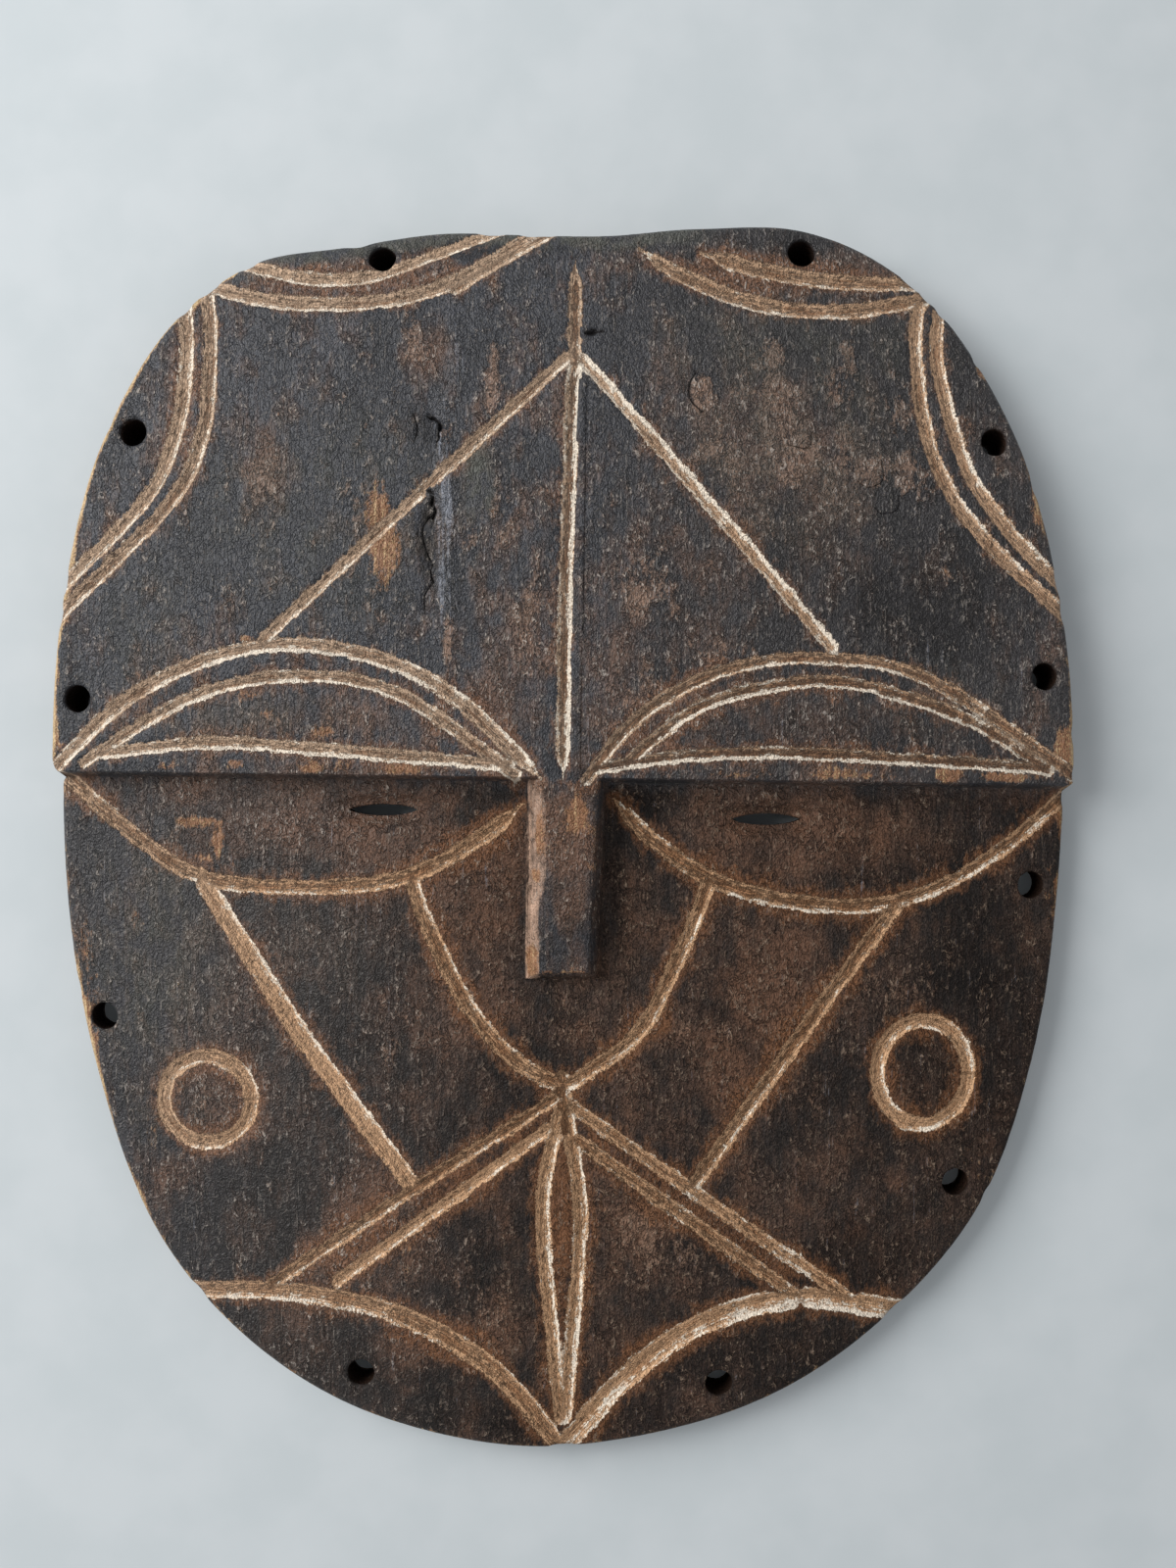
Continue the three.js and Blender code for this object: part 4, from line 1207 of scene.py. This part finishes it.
    # the wall facing the window, where the chalk is brightest as a painted highlight
    lit_far_wall = n.times(n.ramp(facing, -0.12, 0.22), n.ramp(facing, 0.36, 0.7, 1.0, 0.0))
    chalk_and_highlight = n.total((lit_far_wall, 0.5), (rim, 0.2), (n.times(rim, chalk), 0.3), (chalk, 0.4), (pale, 0.06),
                    (scored, 0.9), (ragged, 1.9), (grit, 0.6), (stains, 1.2), -3.1)
    channel = n.mixed(n.ramp(chalk_and_highlight, 0.0, 0.24, 0.0, 0.92), channel, CHALK_AND_HIGHLIGHT_CREAM)
    colour = n.mixed(inside, colour, n.toned(channel, grit, 0.72, 1.22))
    # the fissures painted near black as shade in their depth, less so in the faint ones
    fissure_shade = n.times(n.ramp(crack, 0.2, 0.7, 0.0, 0.9), n.total(1.0, (pale, -0.35)))
    colour = n.mixed(fissure_shade, colour, SOOT_AND_SHADE_BLACK)

    # the unstained back, the outer wall and the dark openings
    patchy = n.ramp(blotches, 0.35, 0.65)
    colour = n.mixed(back, colour, n.toned(n.mixed(patchy, BACK_BROWN, BACK_DARK), streaks, 0.75, 1.2))
    stained_wall = n.times(wall, n.ramp(worn, 0.0, 0.34, 1.0, 0.0))
    colour = n.mixed(stained_wall, colour, n.mixed(patchy, BROWN_BLACK, BACK_DARK))
    colour = n.mixed(n.times(opening, 0.9), colour, n.mixed(blotches, SOOT_AND_SHADE_BLACK, GROOVE_DARK_AND_SHADE))
    n.fill(shader["Base Color"], colour)

    dull = n.most(inside, back, opening)
    rough = n.total(n.ramp(scuffs, 0.3, 0.7, 0.44, 0.58), (dull, 0.3), (clusters, 0.06), (knot, -0.12),
                    (dark, 0.1), (shaded, 0.06))
    n.fill(shader["Roughness"], rough)
    shut = n.most(crack, opening, n.times(dark, 0.6))
    matt = n.times(n.total(1.0, (shut, -0.95)), n.total(0.54, (shaded, -0.39)))
    n.fill(shader["Specular IOR Level"], n.total(matt, (n.times(inside, face), -0.02)))

    relief = n.total((fibres, 0.25), (streaks, 0.4), (flaked, 0.5), (grit, 0.8), (scraped, 1.1),
                     (wrinkles, 1.0), (n.times(clusters, scuffs), 0.8), (n.times(inside, ragged), 1.4),
                     (n.times(inside, scored), 1.4), (n.times(inside, channel_darks), -0.5), (pits_and_shadows, -1.0),
                     (crumbs, 0.3))
    bump = n.put("ShaderNodeBump",
                 named={"Strength": BUMP_STRENGTH, "Distance": BUMP_HEIGHT, "Height": relief})
    n.fill(shader["Normal"], bump)
    return material


def floor_finish():
    material, n, shader = finish("pale floor")
    clouded = n.ramp(n.grained(30, 30, 3.0, 0.55), 0.3, 0.7)
    n.fill(shader["Base Color"], n.mixed(clouded, FLOOR_GREY, FLOOR_PALE))
    n.fill(shader["Roughness"], 0.9)
    n.fill(shader["Specular IOR Level"], 0.2)
    return material


# The studio

FLOOR_REACH = 6.0
LAMP_COLOUR = (1.0, 0.985, 0.965)
SKY_COLOUR, SKY_STRENGTH = (0.98, 0.985, 1.0, 1.0), 0.38


def make_floor():
    mesh = bpy.data.meshes.new("floor")
    corners = [(x * FLOOR_REACH, y * FLOOR_REACH, 0) for x, y in ((-1, -1), (1, -1), (1, 1), (-1, 1))]
    mesh.from_pydata(corners, [], [(0, 1, 2, 3)])
    mesh.materials.append(floor_finish())
    floor = add_object("floor", mesh)


def make_lamp(name, place, size, power):
    light = bpy.data.lights.new(name, "AREA")
    light.size = size
    light.energy = power
    light.color = LAMP_COLOUR
    lamp = add_object(name, light)
    lamp.location = place
    lamp.rotation_euler = (-Vector(place)).to_track_quat("-Z", "Y").to_euler()


def make_studio():
    scene = bpy.context.scene
    scene.view_settings.view_transform = "Standard"
    world = bpy.data.worlds.new("studio")
    world.use_nodes = True
    sky = world.node_tree.nodes["Background"]
    sky.inputs["Color"].default_value = SKY_COLOUR
    sky.inputs["Strength"].default_value = SKY_STRENGTH
    scene.world = world
    make_lamp("window", (-1.25, 0.6, 0.95), 1.1, 31)
    make_lamp("soft fill", (0.2, -1.3, 1.2), 1.6, 1.6)


# The camera looks straight down from where the photograph was taken. Its optical centre is 7.6 mm
# right of the nose line and 15.6 mm above it, 376 mm up, and sees 1600 rows with a 1250-row focal length.
EYE_PLAN = (7.6, 15.6)
EYE_HEIGHT = 376
FOCAL_ROWS, PHOTO_ROWS = 1250, 1600
SENSOR = 36


def make_camera():
    lens = bpy.data.cameras.new("camera")
    lens.sensor_width = SENSOR
    lens.lens = SENSOR * FOCAL_ROWS / PHOTO_ROWS
    camera = add_object("camera", lens)
    x, y = (EYE_PLAN[k] - PLAN_MIDDLE[k] for k in (0, 1))
    camera.location = (x * MM, y * MM, EYE_HEIGHT * MM)
    bpy.context.scene.camera = camera


make_camera()
make_studio()
make_floor()

blank, guides = make_blank(), make_guides()
mask = applied(blank, incise_tree(), Guides=guides, Material=carved_wood())
bpy.data.objects.remove(guides)
for polygon in mask.data.polygons:
    polygon.use_smooth = True
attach(mask, "root")
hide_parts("mask")
